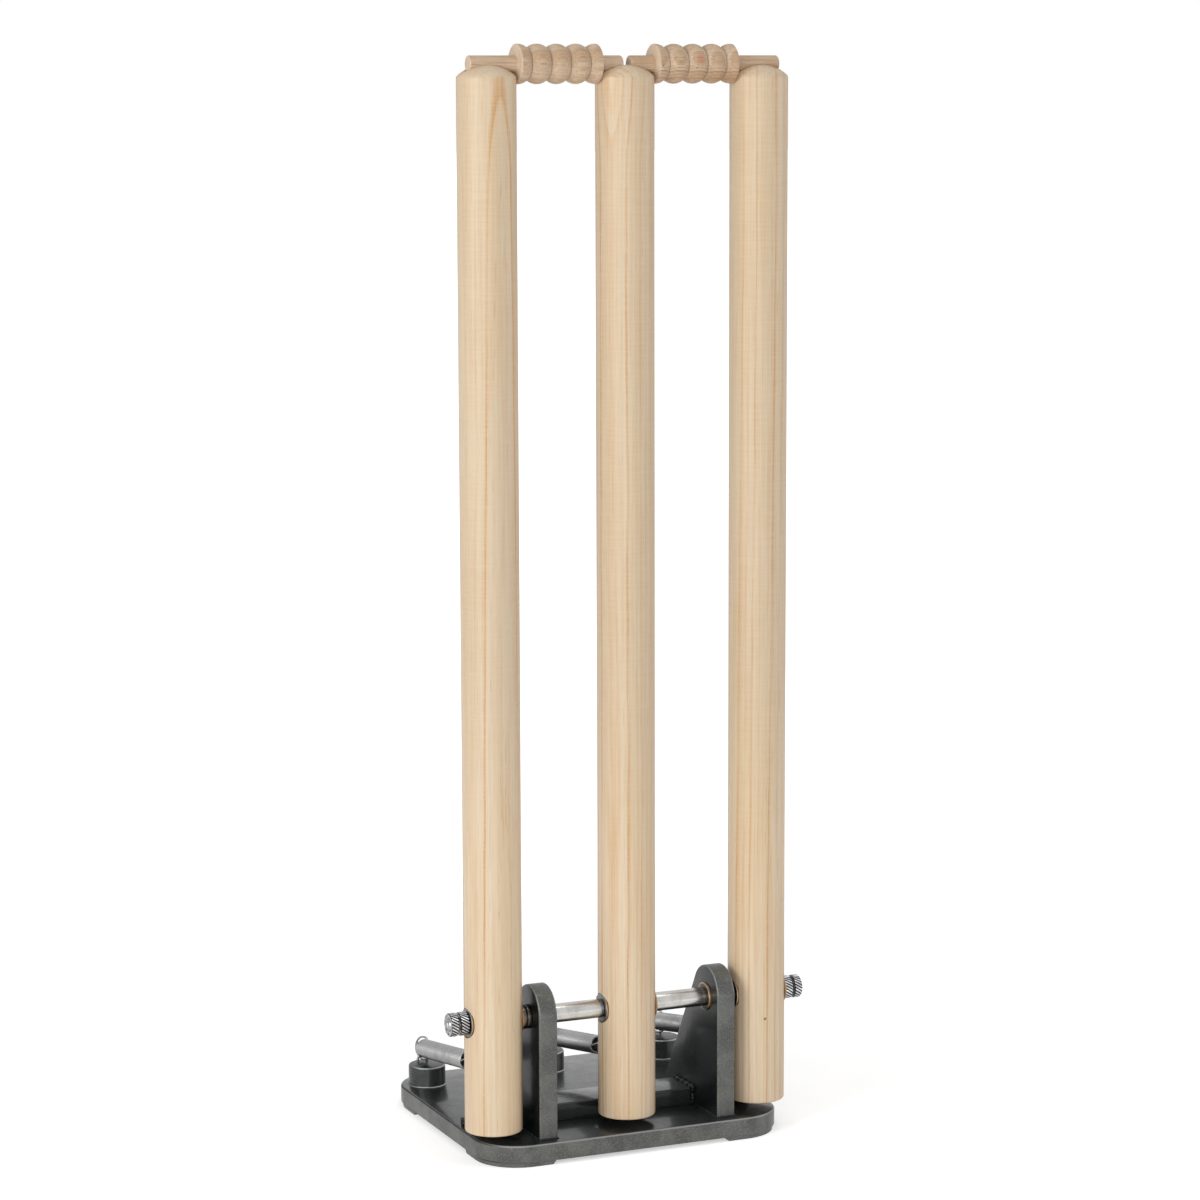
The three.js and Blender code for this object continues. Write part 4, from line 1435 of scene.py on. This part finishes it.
def makeNut(side, place):
    size = nutSizes
    node = f"{side}_{place}_nut"
    low, high = box(node)
    length = high.x - low.x
    radius, edge = size["radius"], size["edge"]

    def knurl(reach, height, angle):
        if reach < radius - edge * size["knurlFrom"]:
            return reach
        turn = (size["teeth"] * (angle / (2 * math.pi) - height / size["lead"])) % 1.0
        fade = min(1.0, (radius - reach) / edge)
        return reach - size["depth"] * abs(2 * turn - 1) * (1 - fade)

    bore, rows, ease, dish = fittingSizes["bore"], size["rows"], size["ease"], size["dish"]
    inward, upward = (edge * share for share in size["shoulder"])
    face, shoulder = radius - edge, radius - inward
    profile = [(bore, ease), (bore + size["innerRim"], 0), (face, 0), (shoulder, upward)]
    profile += [(radius, edge + (length - 2 * edge) * i / rows) for i in range(rows + 1)]
    profile += [(shoulder, length - upward), (face, length), (face - size["rimOuter"], length)]
    profile += [(face - size["rimInner"], length - dish * size["dishShare"])]
    profile += [(bore + size["dishRim"], length - dish)]
    profile += [(bore, length - dish - ease), (bore, ease)]
    data = turnedMesh(node, profile, size["teeth"] * size["toothSteps"], knurl)
    spot = onSpindle(low.x if side == "right" else high.x, side == "right")
    newPiece(side + place.capitalize() + "Nut", data, metals["nut"], spot, "base", [node], 24)


for side in outerSides:
    makeNut(side, "inner")
    makeNut(side, "outer")
print("Spindle and its fittings made")


# Springs

springSizes = {
    "wire": 0.72 * mm,
    "outer": 6.5 * mm,
    "turns": 67.25,
    "steps": 16,
    "hookOuter": 5.7 * mm,
    "loopOuter": 8.5 * mm,
    "hookTurn": 0.8,
    "loopTurn": 0.7,
    "eyeWire": 1.2 * mm,
    "gap": 0.3 * mm,
    "coilLead": 2.2 * mm,
    "coilPast": 1.4 * mm,
    "loopOffset": 5.5 * mm,
    "loopAngle": 60,
    "loopTwist": -26,
    "coilPhase": -90,
    "hookSteps": 40,
    "loopSteps": 48,
    "leadIn": ((0.08, 1.5 * mm, 0.16), (0.3, 1.1 * mm, 0.2), (0.62, 0.7 * mm, 0.14), (0.88, 0.4 * mm, 0.02)),
    "sides": 8,
    "stillLoop": 8 * mm,
    "stillHook": 9 * mm,
}


def springPoints(span):
    size = springSizes
    wire, around = size["wire"], 2 * math.pi
    coil, hook, loop = (size[key] - wire for key in ("outer", "hookOuter", "loopOuter"))
    hookY = hook - wire - size["gap"] - size["eyeWire"]
    points = []
    for i in range(size["hookSteps"] + 1):
        angle = around * size["hookTurn"] * (i / size["hookSteps"] - 1)
        points.append(Vector((0, hookY + hook * math.cos(angle), hook * math.sin(angle))))
    start = hookY + hook + size["coilLead"]
    end = span - size["coilPast"]
    points += [Vector((-coil * out, start - lead, coil * rise)) for out, lead, rise in size["leadIn"]]
    steps = int(size["turns"] * size["steps"])
    phase = math.radians(size["coilPhase"])
    for i in range(1, steps - 1):
        angle = around * i / size["steps"] + phase
        y = start + (end - start) * i / steps
        points.append(Vector((coil * math.sin(angle), y, coil * math.cos(angle))))
    twist = math.radians(size["loopTwist"])
    for i in range(size["loopSteps"] + 1):
        angle = around * size["loopTurn"] * (0.5 - i / size["loopSteps"])
        reach, rise = loop * math.cos(angle), loop * math.sin(angle)
        points.append(Vector((reach * math.sin(twist), span + reach * math.cos(twist), rise)))
    return points


def makeSpring(side):
    size = springSizes
    node = side + "_spring"
    stump = middle(side + "_stump")
    eye = Vector((stump.x, spindleLine.y + eyeSizes["reach"], eyeLine))
    bar = middle(side + "_post_staple")
    bar.z = box(side + "_post_staple")[1].z - postSizes["staple"]
    angle = math.radians(size["loopAngle"])
    rear = bar + Vector((0, -size["loopOffset"] * math.cos(angle), size["loopOffset"] * math.sin(angle)))
    line = rear - eye
    turn = Matrix.Rotation(math.atan2(-line.x, line.y), 4, "Z")
    tip = Matrix.Rotation(math.atan2(line.z, math.hypot(line.x, line.y)), 4, "X")
    place = Matrix.Translation(eye) @ turn @ tip
    data = tubeMesh(node, springPoints(line.length), size["wire"], size["sides"])
    piece = newPiece(side + "Spring", data, metals["wire"], place, None, [node], 60)
    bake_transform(piece)


for side in sides:
    makeSpring(side)
print("Springs wound")


# Floor and light

stageLook = {
    "floorSize": 60.0,
    "floor": rgb(250, 250, 250),
    "floorRoughness": 0.9,
    "floorSpecular": 0.1,
    "nearLift": 0.5,
    "near": 0.3,
    "far": 1.0,
    "worldStrength": 0.3,
    "lamps": {
        "keyLamp": {"place": (-1.2, -2.7, 0.6), "size": (1.6, 1.4), "power": 23.0},
        "sideLamp": {"place": (-2.4, -1.0, 0.95), "size": (1.4, 1.0), "power": 28.0},
        "rightLamp": {"place": (2.3, -1.1, 0.7), "size": (1.0, 1.0), "power": 9.5},
        "topLamp": {"place": (0.2, -0.3, 2.6), "size": (0.9, 0.9), "power": 9.0},
    },
    "aim": (0, 0, 0.1),
}


def seenDirectly(tree):
    # 1 for camera, glossy and transmission rays
    ray = put(tree, "LightPath").outputs
    seen = math1(tree, "MAXIMUM", ray["Is Camera Ray"], ray["Is Glossy Ray"])
    return math1(tree, "MAXIMUM", seen, ray["Is Transmission Ray"])


def makeFloor():
    half = stageLook["floorSize"] / 2
    corners = ((-half, -half), (half, -half), (half, half), (-half, half))
    mesh = bmesh.new()
    mesh.faces.new([mesh.verts.new((x, y, 0)) for x, y in corners])
    floor = bpy.data.objects.new("studioFloor", finishMesh("studioFloor", mesh))
    bpy.context.collection.objects.link(floor)
    material, tree, skin = newMaterial("studioFloor")
    away = measure(tree, "LENGTH", put(tree, "TexCoord").outputs["Object"])
    lift = mapRange(tree, away, stageLook["near"], stageLook["far"], stageLook["nearLift"], 1.0)
    feed(tree, skin, {
        "Base Color": stageLook["floor"],
        "Roughness": stageLook["floorRoughness"],
        "Specular IOR Level": stageLook["floorSpecular"],
        "Emission Color": (1, 1, 1, 1),
        "Emission Strength": times(tree, seenDirectly(tree), lift),
    })
    floor.data.materials.append(material)


def makeWorld():
    world = bpy.data.worlds.new("studio")
    bpy.context.scene.world = world
    world.use_nodes = True
    tree = world.node_tree
    strength = mapRange(tree, seenDirectly(tree), 0.0, 1.0, stageLook["worldStrength"], 1.0, False)
    feed(tree, tree.nodes["Background"].inputs, {"Color": (1, 1, 1, 1), "Strength": strength})


def makeLamp(name, look):
    data = bpy.data.lights.new(name, "AREA")
    data.shape = "RECTANGLE"
    data.size, data.size_y = look["size"]
    data.energy = look["power"]
    lamp = bpy.data.objects.new(name, data)
    lamp.location = look["place"]
    ahead = Vector(stageLook["aim"]) - lamp.location
    lamp.rotation_euler = ahead.to_track_quat("-Z", "Y").to_euler()
    bpy.context.collection.objects.link(lamp)


makeFloor()
makeWorld()
for lampName, lampLook in stageLook["lamps"].items():
    makeLamp(lampName, lampLook)
print("Floor and lamps placed")

bpy.context.scene.view_settings.view_transform = "Standard"
